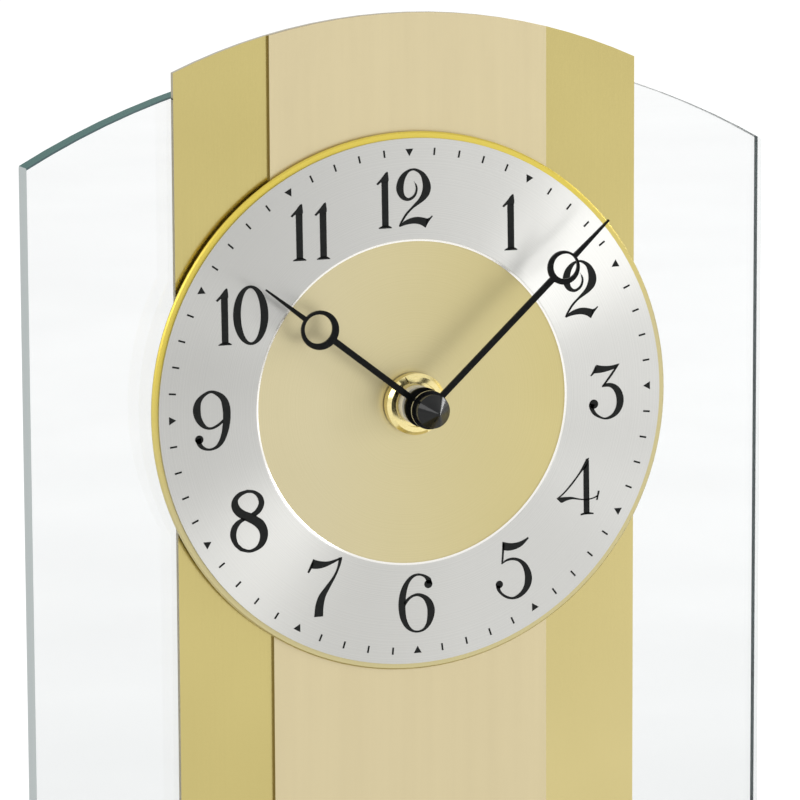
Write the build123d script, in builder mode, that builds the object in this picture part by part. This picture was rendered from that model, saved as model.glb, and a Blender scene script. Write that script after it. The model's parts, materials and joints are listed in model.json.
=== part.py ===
from build123d import *

import math
import os

os.makedirs("parts", exist_ok=True)

# Sizes are in millimetres. The clock faces -Y, +X is to its right as seen from the front, +Z is up.
# Heights named "above the dial" count from the centre of the dial.

# Clearances
running_gap = 0.05
moving_gap = 0.5
layer_gap = 0.5

# Base
base_width = 176.0
base_depth = 80.0
base_height = 20.5
base_corner = 14.0
base_edge = 2.0
felt_thickness = 1.5
felt_inset = 2.0
groove_depth = 14.0
gasket_wall = 1.0
ballast_length = 140.0
ballast_width = 60.0
ballast_thickness = 4.0
base_screw_radius = 2.0
base_screw_head_radius = 3.8
base_screw_thread = 8.0
base_screw_inset = 9.0
grub_radius = 2.5
grub_length = 10.0
grub_spread = 90.0
grub_socket = 2.5
grub_socket_depth = 2.5

# Glass plate
dial_height = 200.0
glass_width = 160.0
glass_thickness = 6.0
glass_shoulder = 51.2
glass_crown = 72.3
glass_edge = 0.3

# Front panel, its tape and the raised centre strip
panel_width = 100.0
panel_thickness = 1.5
panel_shoulder = 69.5
panel_crown = 80.2
panel_foot_gap = 0.6
tape_thickness = 1.0
tape_width = 12.0
tape_inset = 3.0
strip_width = 60.0
strip_thickness = 1.0
window_width = 46.0
window_below_bob = 32.0
window_side = 54.0
window_rise = 4.4

# Dial
dial_radius = 56.0
dial_thickness = 1.0
dial_edge = 0.3
spacer_radius = 28.0
spacer_thickness = 0.4
hour_ring_inner = 33.5
hour_ring_outer = 54.7
hour_ring_thickness = 0.5
hour_ring_bevel = 0.6
hour_ring_bevel_depth = 0.25

# Fixing of the movement
bush_radius = 4.0
bush_hole_gap = 0.3
bush_flange_radius = 5.5
bush_flange_thickness = 1.0
bush_reach = 4.2
hub_washer_radius = 12.0
case_washer_radius = 10.0
case_washer_thickness = 1.0
nut_radius = 6.4
nut_height = 2.6
nut_chamfer = 0.7
nut_recess_radius = 4.7
nut_recess_depth = 0.8
nut_slot_width = 1.6
nut_slot_depth = 0.7
nut_slot_turn = 120.0
nut_washer_radius = 6.0
nut_washer_thickness = 0.4

# Hands, with levels measured forwards from the face of the hour ring
hand_thickness = 0.6
hand_tip_width = 0.36
hour_hand_level = 5.6
hour_hand_angle = -52.4
hour_hand_length = 42.4
hour_hub_radius = 4.1
hour_eye_reach = 28.0
hour_eye_radius = 4.03
hour_eye_hole = 3.0
hour_eye_shift = 0.43
hour_shaft_width = 1.3
hour_collet_radius = 3.3
hour_collet_length = 1.0
minute_hand_level = 9.0
minute_hand_angle = 46.7
minute_hand_length = 54.2
minute_hub_radius = 3.6
minute_eye_reach = 40.5
minute_eye_radius = 3.5
minute_eye_hole = 2.62
minute_eye_shift = 0.41
minute_shaft_width = 1.25
minute_collet_radius = 2.4
minute_collet_length = 1.4
minute_flange_radius = 4.0
minute_flange_thickness = 0.4
cap_radius = 3.5
cap_band = 2.2
cap_cone = 3.8
cap_thread_depth = 2.0
cap_thread_radius = 1.2

# Movement case
case_side = 1.6
case_plate = 2.0
case_corner = 3.0
case_post_radius = 2.2
case_screw_radius = 0.9
case_screw_head_radius = 1.7
case_screw_head_height = 1.0
case_screw_side_inset = 2.6
case_screw_foot_inset = 4.4
case_foot_margin = 1.4
bay_wall = 1.2

# Battery and its contacts
battery_length = 50.5
battery_radius = 7.25
battery_nub_radius = 2.75
battery_nub_length = 1.2
battery_edge = 0.5
bay_gap = 0.35
contact_thickness = 0.5
contact_width = 9.0

# Gear teeth
pressure_angle = math.radians(25.0)
tooth_addendum = 0.75
tooth_dedendum = 1.15
tooth_thinning = 0.2

# Motion work behind the dial: minute arbor, minute wheel, hour wheel, setting knob
motion_module = 0.5
cannon_teeth = 12
minute_wheel_teeth = 36
minute_pinion_teeth = 10
hour_wheel_teeth = 40
setting_teeth = 12
motion_face = 1.4
hour_pipe_radius = 2.5
arbor_radius = 1.6
arbor_tail_radius = 1.0
post_radius = 0.75
setting_shaft_radius = 1.5
setting_pivot_radius = 1.0
setting_boss_radius = 2.4
knob_radius = 7.0
knob_height = 2.8
knob_notch_radius = 0.8
knob_notch_count = 18

# Going train between the middle plate and the back of the case
plate_thickness = 0.8
train_module = 0.2
train_face = 0.8
pinion_teeth = 8
centre_wheel_teeth = 60
third_wheel_teeth = 64
second_wheel_teeth = 48
fifth_wheel_teeth = 40
train_arbor_radius = 0.45
train_pivot_radius = 0.3
train_pivot_length = 0.6
train_boss_radius = 1.4
third_direction = 216.0
second_direction = 243.6
fifth_direction = 190.8
rotor_direction = 135.0

# Motor and electronics
rotor_magnet_radius = 2.3
rotor_magnet_length = 2.0
stator_thickness = 1.0
stator_air_gap = 0.5
stator_rim = 1.1
stator_leg = 2.6
motor_coil_radius = 2.5
motor_coil_length = 12.5
board_width = 26.0
board_height = 8.0
board_thickness = 1.0
board_boss_radius = 1.6
board_boss_height = 2.0
crystal_radius = 1.0
crystal_length = 6.0

# Pendulum
pivot_clear = 4.5
pivot_radius = 1.0
pivot_boss_radius = 3.0
pendulum_plate = 1.6
magnet_reach = 17.0
drive_coil_radius = 6.0
drive_coil_core = 2.0
drive_coil_length = 3.6
arm_width = 11.0
arm_hub_radius = 5.5
arm_thickness = 3.2
arm_tail = 13.0
magnet_radius = 4.0
magnet_thickness = 2.0
clip_radius = 2.6
clip_thickness = 0.8
rod_radius = 1.0
rod_socket = 6.0
bob_reach = 82.0
bob_radius = 17.0
bob_thickness = 7.0
bob_rim = 2.4
rating_nut_radius = 3.2
rating_nut_height = 3.0
rod_end = 3.0

# Levels from the front of the dial to the back of the movement, along Y
glass_front = -glass_thickness / 2
glass_back = glass_thickness / 2
panel_back = glass_front - tape_thickness
panel_front = panel_back - panel_thickness
strip_front = panel_front - strip_thickness
spacer_front = strip_front - spacer_thickness
disc_front = spacer_front - dial_thickness
hour_ring_front = disc_front - hour_ring_thickness
nut_back = disc_front - nut_washer_thickness
bush_front = hour_ring_front - bush_reach
hour_hand_back = hour_ring_front - hour_hand_level
hour_hand_front = hour_hand_back - hand_thickness
minute_hand_back = hour_ring_front - minute_hand_level
minute_hand_front = minute_hand_back - hand_thickness
cap_back = minute_hand_front - minute_flange_thickness
case_face = glass_back + case_washer_thickness
case_floor = case_face + case_plate
hour_gear_front = case_floor + layer_gap
minute_gear_front = hour_gear_front + motion_face + layer_gap
plate_front = minute_gear_front + motion_face + layer_gap
plate_back = plate_front + plate_thickness
train_step = train_face + layer_gap
train_start = plate_back + layer_gap
train_boss_front = train_start + 4 * train_step
battery_level = case_floor + bay_gap + battery_radius
battery_back = battery_level + battery_radius + bay_gap
case_back_face = max(battery_back, train_boss_front + train_pivot_length + case_plate)
case_ceiling = case_back_face - case_plate
pendulum_back_face = plate_back + pendulum_plate
arm_front = pendulum_back_face + moving_gap
arm_back = arm_front + arm_thickness

# Heights
base_top = felt_thickness + base_height
groove_floor = base_top - groove_depth
glass_foot = groove_floor + gasket_wall - dial_height
panel_foot = base_top + panel_foot_gap - dial_height
bush_hole_radius = bush_radius + bush_hole_gap


def crown_radius(width, shoulder, crown):
    """Radius of the arch over a plate, from its half width and its rise."""
    rise = crown - shoulder
    return ((width / 2) ** 2 + rise**2) / (2 * rise)


def arch_height(across, width, shoulder, crown):
    """Height of a plate's arched top at a distance from its middle line."""
    radius = crown_radius(width, shoulder, crown)
    return crown - radius + math.sqrt(radius**2 - across**2)


def facing(level, across=0.0, above=0.0):
    """Plane seen from the front at a level along Y: x to the right, y up, rising towards the viewer."""
    return Plane(origin=(across, level, dial_height + above), x_dir=(1, 0, 0), z_dir=(0, -1, 0))


def hand_plane(level, angle):
    """Plane seen from the front whose y axis points along a hand, clockwise from twelve."""
    turn = math.radians(angle)
    x_dir = (math.cos(turn), 0, -math.sin(turn))
    return Plane(origin=(0, level, dial_height), x_dir=x_dir, z_dir=(0, -1, 0))


def arched_outline(width, foot, shoulder, crown):
    """Plate with straight sides and foot and an arched top."""
    half = width / 2
    with BuildSketch() as outline:
        with BuildLine():
            Polyline((-half, shoulder), (-half, foot), (half, foot), (half, shoulder))
            ThreePointArc((half, shoulder), (0, crown), (-half, shoulder))
        make_face()
    return outline.sketch


def gear_outline(teeth, module, phase):
    """Spur gear with involute flanks; phase is the angle of one tooth, in radians from +X."""
    pitch = teeth * module / 2
    base = pitch * math.cos(pressure_angle)
    root = pitch - tooth_dedendum * module
    tip = pitch + tooth_addendum * module
    involute = math.tan(pressure_angle) - pressure_angle
    half_tooth = math.pi / (2 * teeth) * (1 - tooth_thinning)
    flank = []
    for radius in (root, max(base, root), pitch, (pitch + tip) / 2, tip):
        roll = math.acos(min(1.0, base / radius))
        flank.append((radius, half_tooth + involute - (math.tan(roll) - roll)))
    points = []
    for tooth in range(teeth):
        middle = phase + 2 * math.pi * tooth / teeth
        sides = [(radius, middle - half) for radius, half in flank]
        sides += [(radius, middle + half) for radius, half in reversed(flank)]
        points += [(radius * math.cos(angle), radius * math.sin(angle)) for radius, angle in sides]
    distinct = [points[0]]
    for point in points[1:]:
        if math.dist(point, distinct[-1]) > train_module / 100:
            distinct.append(point)
    with BuildSketch() as outline:
        with BuildLine():
            Polyline(*distinct, close=True)
        make_face()
    return outline.sketch


def mesh_phase(teeth, driver_teeth, driver_phase, direction):
    """Phase that puts a gap of a gear on a driver's tooth, for a gear standing in a direction from it."""
    share = (direction - driver_phase) * driver_teeth / (2 * math.pi)
    return direction + math.pi - (0.5 - share) * 2 * math.pi / teeth


def toward(start, distance, direction):
    """Point at a distance from a start point, in a direction in degrees from +X."""
    turn = math.radians(direction)
    return (start[0] + distance * math.cos(turn), start[1] + distance * math.sin(turn))


def hand_outline(length, hub_radius, eye, shaft_width, bore):
    """Hand pointing up: hub, thin shaft, an eye pierced off its centre, and a narrow blunt point."""
    eye_reach, eye_radius, eye_hole, eye_shift = eye
    with BuildSketch() as outline:
        Circle(hub_radius)
        with BuildLine():
            half = shaft_width / 2
            tip = hand_tip_width / 2
            right_side = ((half, 0), (half, eye_reach), (tip, length))
            left_side = ((-tip, length), (-half, eye_reach), (-half, 0))
            Polyline(*right_side, *left_side, close=True)
        make_face()
        with Locations((0, eye_reach)):
            Circle(eye_radius)
        with Locations((0, eye_reach + eye_shift)):
            Circle(eye_hole, mode=Mode.SUBTRACT)
        Circle(bore, mode=Mode.SUBTRACT)
    return outline.sketch


def finish(piece, name):
    """Names a finished piece and writes it."""
    piece.label = name
    export_step(piece, f"parts/{name}.step")


# Places of the gears, as points above the dial's centre and to its right
motion_distance = motion_module * (cannon_teeth + minute_wheel_teeth) / 2
hour_module = 2 * motion_distance / (minute_pinion_teeth + hour_wheel_teeth)
setting_distance = motion_module * (minute_wheel_teeth + setting_teeth) / 2
dial_axis = (0.0, 0.0)
minute_wheel_axis = toward(dial_axis, motion_distance, 0.0)
setting_axis = toward(minute_wheel_axis, setting_distance, -90.0)
minute_wheel_phase = mesh_phase(minute_wheel_teeth, cannon_teeth, 0.0, 0.0)
hour_wheel_phase = mesh_phase(hour_wheel_teeth, minute_pinion_teeth, minute_wheel_phase, math.pi)
setting_phase = mesh_phase(setting_teeth, minute_wheel_teeth, minute_wheel_phase, -math.pi / 2)
wheels = (
    ("third_wheel", third_wheel_teeth, third_direction, centre_wheel_teeth),
    ("second_wheel", second_wheel_teeth, second_direction, third_wheel_teeth),
    ("fifth_wheel", fifth_wheel_teeth, fifth_direction, second_wheel_teeth),
    ("rotor", 0, rotor_direction, fifth_wheel_teeth),
)
train_axes = [dial_axis]
train_phases = [0.0]
for wheel_name, wheel_teeth, direction, driven_teeth in wheels:
    distance = train_module * (driven_teeth + pinion_teeth) / 2
    train_axes.append(toward(train_axes[-1], distance, direction))
    phase = mesh_phase(pinion_teeth, driven_teeth, train_phases[-1], math.radians(direction))
    train_phases.append(phase)
rotor_axis = train_axes[-1]

# Places of the battery, the motor and the case around them
bay_half_length = battery_length / 2 + bay_gap + contact_thickness
case_half_width = bay_half_length + case_side
hour_tip = hour_wheel_teeth * hour_module / 2 + tooth_addendum * hour_module
bay_floor = hour_tip + moving_gap + bay_wall
battery_height = bay_floor + bay_gap + battery_radius
bay_top = battery_height + battery_radius + bay_gap
case_top = bay_top + case_side
upper_screw_height = bay_floor - bay_wall - case_post_radius - layer_gap
screw_across = bay_half_length - case_screw_side_inset
upper_screws = ((-screw_across, upper_screw_height), (screw_across, upper_screw_height))
stator_middle = plate_back + stator_thickness / 2
stator_hole = rotor_magnet_radius + stator_air_gap
stator_outer = stator_hole + stator_rim
coil_across = motor_coil_radius + layer_gap / 2 - bay_half_length
coil_top = rotor_axis[1] - stator_outer - layer_gap
stator_foot = coil_top - motor_coil_length - layer_gap
notch_right = coil_across + motor_coil_radius + layer_gap
notch_top = coil_top + layer_gap / 2
plate_foot = setting_axis[1] - setting_shaft_radius - bay_wall - moving_gap
plate_top = bay_floor - bay_wall - layer_gap / 2
plate_half_width = bay_half_length - layer_gap
prop = (screw_across, plate_foot + case_post_radius)
case_step_drop = stator_leg + layer_gap + case_side - stator_foot
board_middle = case_side + layer_gap + board_height / 2 - case_step_drop
board_back = case_floor + board_boss_height + board_thickness

# Places of the pendulum and of the lower half of the case
pivot_drop = case_step_drop + arm_hub_radius + pivot_clear
drive_coil_drop = pivot_drop + magnet_reach
case_foot_drop = drive_coil_drop + drive_coil_radius + case_foot_margin + case_side
bob_drop = pivot_drop + bob_reach
pivot_end = arm_back + running_gap + clip_thickness
arm_foot = -drive_coil_drop - arm_tail
rod_level = (arm_front + arm_back) / 2
bob_bottom = -bob_radius - bob_drop
rod_foot = bob_bottom - rating_nut_height - rod_end
case_middle = (case_top - case_step_drop) / 2
case_upper_height = case_top + case_step_drop
case_full_middle = (case_top - case_foot_drop) / 2
case_full_height = case_top + case_foot_drop
lower_screw_height = case_side + case_screw_foot_inset - case_foot_drop
lower_screws = ((-screw_across, lower_screw_height), (screw_across, lower_screw_height))
window_foot = -bob_drop - window_below_bob

# Base
base_bottom = Plane.XY.offset(felt_thickness)
screw_grid = (ballast_length - 2 * base_screw_inset, ballast_width - 2 * base_screw_inset)
grub_height = groove_floor + groove_depth / 2
gasket_outer = glass_thickness / 2 + gasket_wall

with BuildPart() as base_body:
    with BuildSketch(base_bottom):
        RectangleRounded(base_width, base_depth, base_corner)
    extrude(amount=base_height)
    fillet(base_body.faces().sort_by(Axis.Z)[-1].edges(), base_edge)
    with BuildSketch(Plane.XY.offset(base_top)):
        Rectangle(glass_width + 2 * gasket_wall, 2 * gasket_outer)
    extrude(amount=-groove_depth, mode=Mode.SUBTRACT)
    with BuildSketch(base_bottom):
        Rectangle(ballast_length, ballast_width)
    extrude(amount=ballast_thickness, mode=Mode.SUBTRACT)
    with BuildSketch(base_bottom):
        with GridLocations(*screw_grid, 2, 2):
            Circle(base_screw_radius)
    extrude(amount=ballast_thickness + base_screw_thread, mode=Mode.SUBTRACT)
    with BuildSketch(Plane(origin=(0, base_depth / 2, grub_height), x_dir=(1, 0, 0), z_dir=(0, -1, 0))):
        with GridLocations(grub_spread, 0, 2, 1):
            Circle(grub_radius)
    extrude(amount=base_depth / 2 - gasket_outer, mode=Mode.SUBTRACT)
finish(base_body.part, "base_body")

with BuildPart() as base_felt:
    with BuildSketch():
        RectangleRounded(base_width - 2 * felt_inset, base_depth - 2 * felt_inset, base_corner - felt_inset)
    extrude(amount=felt_thickness)
finish(base_felt.part, "base_felt")

with BuildPart() as ballast_plate:
    with BuildSketch(base_bottom):
        Rectangle(ballast_length, ballast_width)
    extrude(amount=ballast_thickness)
    with BuildSketch(base_bottom):
        with GridLocations(*screw_grid, 2, 2):
            Circle(base_screw_radius)
    extrude(amount=ballast_thickness, mode=Mode.SUBTRACT)
    head_depth = base_screw_head_radius - base_screw_radius
    with Locations(Plane.XY.offset(felt_thickness + head_depth / 2)):
        with GridLocations(*screw_grid, 2, 2):
            Cone(base_screw_head_radius, base_screw_radius, head_depth, mode=Mode.SUBTRACT)
finish(ballast_plate.part, "ballast_plate")

with BuildPart() as base_screws:
    with BuildSketch(base_bottom):
        with GridLocations(*screw_grid, 2, 2):
            Circle(base_screw_radius)
    extrude(amount=ballast_thickness + base_screw_thread)
    with Locations(Plane.XY.offset(felt_thickness + head_depth / 2)):
        with GridLocations(*screw_grid, 2, 2):
            Cone(base_screw_head_radius, base_screw_radius, head_depth)
finish(base_screws.part, "base_screws")

with BuildPart() as glass_grub_screws:
    with BuildSketch(Plane(origin=(0, gasket_outer, grub_height), x_dir=(1, 0, 0), z_dir=(0, 1, 0))):
        with GridLocations(grub_spread, 0, 2, 1):
            Circle(grub_radius)
    extrude(amount=grub_length)
    grub_end = Plane(origin=(0, gasket_outer + grub_length, grub_height), x_dir=(1, 0, 0), z_dir=(0, -1, 0))
    with BuildSketch(grub_end):
        with GridLocations(grub_spread, 0, 2, 1):
            RegularPolygon(grub_socket / 2, 6, major_radius=False)
    extrude(amount=grub_socket_depth, mode=Mode.SUBTRACT)
finish(glass_grub_screws.part, "glass_grub_screws")

with BuildPart() as glass_gasket:
    with BuildSketch(Plane.XY.offset(groove_floor)):
        Rectangle(glass_width + 2 * gasket_wall, 2 * gasket_outer)
    extrude(amount=groove_depth)
    with BuildSketch(Plane.XY.offset(base_top)):
        Rectangle(glass_width, glass_thickness)
    extrude(amount=gasket_wall - groove_depth, mode=Mode.SUBTRACT)
finish(glass_gasket.part, "glass_gasket")

# Glass plate, front panel and centre strip
glass_outline = arched_outline(glass_width, glass_foot, glass_shoulder, glass_crown)
panel_outline = arched_outline(panel_width, panel_foot, panel_shoulder, panel_crown)
strip_shoulder = arch_height(strip_width / 2, panel_width, panel_shoulder, panel_crown)
strip_outline = arched_outline(strip_width, panel_foot, strip_shoulder, panel_crown)
window_shoulder = window_foot + window_side
window_outline = arched_outline(window_width, window_foot, window_shoulder, window_shoulder + window_rise)

with BuildPart() as glass_panel:
    with BuildSketch(facing(glass_back)):
        add(glass_outline)
    extrude(amount=glass_thickness)
    chamfer(glass_panel.edges().filter_by(GeomType.CIRCLE), glass_edge)
    with BuildSketch(facing(glass_back)):
        Circle(bush_hole_radius)
    extrude(amount=glass_thickness, mode=Mode.SUBTRACT)
finish(glass_panel.part, "glass_panel")

with BuildPart() as front_panel:
    with BuildSketch(facing(panel_back)):
        add(panel_outline)
        add(window_outline, mode=Mode.SUBTRACT)
        Circle(bush_hole_radius, mode=Mode.SUBTRACT)
    extrude(amount=panel_thickness)
finish(front_panel.part, "front_panel")

with BuildPart() as centre_strip:
    with BuildSketch(facing(panel_front)):
        add(strip_outline)
        add(window_outline, mode=Mode.SUBTRACT)
        Circle(bush_hole_radius, mode=Mode.SUBTRACT)
    extrude(amount=strip_thickness)
finish(centre_strip.part, "centre_strip")

tape_outer = panel_width / 2 - tape_inset
tape_top = arch_height(tape_outer, glass_width, glass_shoulder, glass_crown) - tape_inset
tape_bottom = panel_foot + tape_inset
with BuildPart() as panel_tape:
    with BuildSketch(facing(glass_front, 0.0, (tape_top + tape_bottom) / 2)):
        with GridLocations(2 * tape_outer - tape_width, 0, 2, 1):
            Rectangle(tape_width, tape_top - tape_bottom)
    extrude(amount=tape_thickness)
finish(panel_tape.part, "panel_tape")

# Washers and spacers on the bush
rings = (
    ("hub_spacer", glass_front, tape_thickness, hub_washer_radius),
    ("case_washer", case_face, case_washer_thickness, case_washer_radius),
    ("dial_spacer", strip_front, spacer_thickness, spacer_radius),
    ("nut_washer", disc_front, nut_washer_thickness, nut_washer_radius),
)
for ring_name, ring_back, ring_thickness, ring_radius in rings:
    with BuildPart() as flat_ring:
        with BuildSketch(facing(ring_back)):
            Circle(ring_radius)
            Circle(bush_hole_radius, mode=Mode.SUBTRACT)
        extrude(amount=ring_thickness)
    finish(flat_ring.part, ring_name)

# Dial
with BuildPart() as dial_disc:
    with BuildSketch(facing(spacer_front)):
        Circle(dial_radius)
    extrude(amount=dial_thickness)
    chamfer(dial_disc.edges().filter_by(GeomType.CIRCLE), dial_edge)
    with BuildSketch(facing(spacer_front)):
        Circle(bush_hole_radius)
    extrude(amount=dial_thickness, mode=Mode.SUBTRACT)
finish(dial_disc.part, "dial_disc")

with BuildPart() as hour_ring:
    with BuildSketch(facing(disc_front)):
        Circle(hour_ring_outer)
        Circle(hour_ring_inner, mode=Mode.SUBTRACT)
    extrude(amount=hour_ring_thickness)
    ring_face = hour_ring.faces().sort_by(Axis.Y)[0]
    inner_rim = ring_face.edges().sort_by(SortBy.RADIUS)[0]
    chamfer(inner_rim, hour_ring_bevel, hour_ring_bevel_depth, reference=ring_face)
finish(hour_ring.part, "hour_ring")

# Fixing bush and nut
with BuildPart() as fixing_bush:
    with BuildSketch(facing(case_floor)):
        Circle(bush_flange_radius)
    extrude(amount=bush_flange_thickness)
    with BuildSketch(facing(case_floor)):
        Circle(bush_radius)
    extrude(amount=case_floor - bush_front)
    with BuildSketch(facing(case_floor)):
        Circle(hour_pipe_radius + running_gap)
    extrude(amount=case_floor - bush_front, mode=Mode.SUBTRACT)
finish(fixing_bush.part, "fixing_bush")

with BuildPart() as fixing_nut:
    with BuildSketch(facing(nut_back)):
        Circle(nut_radius)
    extrude(amount=nut_height)
    chamfer(fixing_nut.faces().sort_by(Axis.Y)[0].edges(), nut_chamfer)
    with BuildSketch(facing(nut_back - nut_height)):
        Rectangle(2 * nut_radius, nut_slot_width, rotation=nut_slot_turn)
    extrude(amount=-nut_slot_depth, mode=Mode.SUBTRACT)
    with BuildSketch(facing(nut_back - nut_height)):
        Circle(nut_recess_radius)
    extrude(amount=-nut_recess_depth, mode=Mode.SUBTRACT)
    with BuildSketch(facing(nut_back)):
        Circle(bush_radius)
    extrude(amount=nut_height, mode=Mode.SUBTRACT)
finish(fixing_nut.part, "fixing_nut")

# Motion work
cannon_gear = gear_outline(cannon_teeth, motion_module, 0.0)
minute_gear = gear_outline(minute_wheel_teeth, motion_module, minute_wheel_phase)
minute_pinion = gear_outline(minute_pinion_teeth, hour_module, minute_wheel_phase)
hour_gear = gear_outline(hour_wheel_teeth, hour_module, hour_wheel_phase)
setting_pinion = gear_outline(setting_teeth, motion_module, setting_phase)
minute_gear_back = minute_gear_front + motion_face
hour_gear_back = hour_gear_front + motion_face
pinion_root = minute_pinion_teeth * hour_module / 2 - tooth_dedendum * hour_module

with BuildPart() as hour_wheel:
    with BuildSketch(facing(hour_gear_back)):
        add(hour_gear)
    extrude(amount=motion_face)
    with BuildSketch(facing(hour_gear_back)):
        Circle(hour_pipe_radius)
    extrude(amount=hour_gear_back - hour_hand_front)
    with BuildSketch(facing(hour_gear_back)):
        Circle(arbor_radius + running_gap)
    extrude(amount=hour_gear_back - hour_hand_front, mode=Mode.SUBTRACT)
finish(hour_wheel.part, "hour_wheel")

arbor_tail_end = train_start + train_face
with BuildPart() as minute_arbor:
    with BuildSketch(facing(minute_gear_back)):
        add(cannon_gear)
    extrude(amount=motion_face)
    with BuildSketch(facing(minute_gear_back)):
        Circle(arbor_radius)
    extrude(amount=minute_gear_back - minute_hand_front)
    with BuildSketch(facing(minute_hand_front)):
        Circle(cap_thread_radius)
    extrude(amount=minute_flange_thickness + cap_thread_depth)
    with BuildSketch(facing(arbor_tail_end)):
        Circle(arbor_tail_radius)
    extrude(amount=arbor_tail_end - minute_gear_back)
finish(minute_arbor.part, "minute_arbor")

with BuildPart() as minute_wheel:
    with BuildSketch(facing(minute_gear_back, *minute_wheel_axis)):
        add(minute_gear)
    extrude(amount=motion_face)
    with BuildSketch(facing(minute_gear_front, *minute_wheel_axis)):
        Circle(pinion_root)
    extrude(amount=layer_gap)
    with BuildSketch(facing(hour_gear_back, *minute_wheel_axis)):
        add(minute_pinion)
    extrude(amount=motion_face)
    with BuildSketch(facing(minute_gear_back, *minute_wheel_axis)):
        Circle(post_radius + running_gap)
    extrude(amount=minute_gear_back - hour_gear_front, mode=Mode.SUBTRACT)
finish(minute_wheel.part, "minute_wheel")

with BuildPart() as minute_wheel_post:
    with BuildSketch(facing(plate_front, *minute_wheel_axis)):
        Circle(post_radius)
    extrude(amount=plate_front - case_floor)
finish(minute_wheel_post.part, "minute_wheel_post")

setting_boss_back = hour_gear_back
knob_front = case_back_face + layer_gap
with BuildPart() as setting_knob:
    with BuildSketch(facing(minute_gear_back, *setting_axis)):
        add(setting_pinion)
    extrude(amount=motion_face)
    with BuildSketch(facing(knob_front, *setting_axis)):
        Circle(setting_shaft_radius)
    extrude(amount=knob_front - minute_gear_back)
    with BuildSketch(facing(minute_gear_front, *setting_axis)):
        Circle(setting_pivot_radius)
    extrude(amount=minute_gear_front - case_floor - layer_gap)
    with BuildSketch(facing(knob_front + knob_height, *setting_axis)):
        Circle(knob_radius)
        with PolarLocations(knob_radius, knob_notch_count):
            Circle(knob_notch_radius, mode=Mode.SUBTRACT)
    extrude(amount=knob_height)
finish(setting_knob.part, "setting_knob")

# Hands
hour_eye = (hour_eye_reach, hour_eye_radius, hour_eye_hole, hour_eye_shift)
hour_outline = hand_outline(hour_hand_length, hour_hub_radius, hour_eye, hour_shaft_width, hour_pipe_radius)
minute_eye = (minute_eye_reach, minute_eye_radius, minute_eye_hole, minute_eye_shift)
minute_outline = hand_outline(minute_hand_length, minute_hub_radius, minute_eye, minute_shaft_width, arbor_radius)

with BuildPart() as hour_hand:
    with BuildSketch(hand_plane(hour_hand_back, hour_hand_angle)):
        add(hour_outline)
    extrude(amount=hand_thickness)
finish(hour_hand.part, "hour_hand")

with BuildPart() as minute_hand:
    with BuildSketch(hand_plane(minute_hand_back, minute_hand_angle)):
        add(minute_outline)
    extrude(amount=hand_thickness)
finish(minute_hand.part, "minute_hand")

with BuildPart() as hour_collet:
    with BuildSketch(facing(hour_hand_back + hour_collet_length)):
        Circle(hour_collet_radius)
        Circle(hour_pipe_radius, mode=Mode.SUBTRACT)
    extrude(amount=hour_collet_length)
finish(hour_collet.part, "hour_collet")

with BuildPart() as minute_collet:
    with BuildSketch(facing(minute_hand_back + minute_collet_length)):
        Circle(minute_collet_radius)
        Circle(arbor_radius, mode=Mode.SUBTRACT)
    extrude(amount=minute_collet_length)
finish(minute_collet.part, "minute_collet")

with BuildPart() as cap_washer:
    with BuildSketch(facing(minute_hand_front)):
        Circle(minute_flange_radius)
        Circle(cap_thread_radius, mode=Mode.SUBTRACT)
    extrude(amount=minute_flange_thickness)
finish(cap_washer.part, "cap_washer")

with BuildPart() as hand_cap:
    with BuildSketch(Plane.YZ):
        with BuildLine():
            Polyline((cap_back, dial_height), (cap_back, dial_height + cap_radius),
                     (cap_back - cap_band, dial_height + cap_radius),
                     (cap_back - cap_band - cap_cone, dial_height), close=True)
        make_face()
    revolve(axis=Axis((0, 0, dial_height), (0, 1, 0)))
    with BuildSketch(facing(cap_back)):
        Circle(cap_thread_radius)
    extrude(amount=cap_thread_depth, mode=Mode.SUBTRACT)
finish(hand_cap.part, "hand_cap")

# Going train
with BuildPart() as centre_wheel:
    with BuildSketch(facing(train_start + train_face)):
        add(gear_outline(centre_wheel_teeth, train_module, train_phases[0]))
        Circle(arbor_tail_radius + running_gap, mode=Mode.SUBTRACT)
    extrude(amount=train_face)
finish(centre_wheel.part, "centre_wheel")

for index, (wheel_name, wheel_teeth, direction, driven_teeth) in enumerate(wheels):
    axis = train_axes[index + 1]
    pinion_back = train_start + index * train_step + train_face
    with BuildPart() as train_piece:
        with BuildSketch(facing(train_boss_front - running_gap, *axis)):
            Circle(train_arbor_radius)
        extrude(amount=train_boss_front - plate_back - 2 * running_gap)
        with BuildSketch(facing(train_boss_front + train_pivot_length - running_gap, *axis)):
            Circle(train_pivot_radius)
        extrude(amount=train_boss_front + train_pivot_length - running_gap - plate_front)
        with BuildSketch(facing(pinion_back, *axis)):
            add(gear_outline(pinion_teeth, train_module, train_phases[index + 1]))
        extrude(amount=train_face)
        if wheel_teeth:
            with BuildSketch(facing(pinion_back + train_step, *axis)):
                add(gear_outline(wheel_teeth, train_module, train_phases[index + 1]))
            extrude(amount=train_face)
    finish(train_piece.part, wheel_name)

rotor_magnet_front = plate_back + layer_gap
with BuildPart() as rotor_magnet:
    with BuildSketch(facing(rotor_magnet_front + rotor_magnet_length, *rotor_axis)):
        Circle(rotor_magnet_radius)
        Circle(train_arbor_radius, mode=Mode.SUBTRACT)
    extrude(amount=rotor_magnet_length)
finish(rotor_magnet.part, "rotor_magnet")

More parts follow.
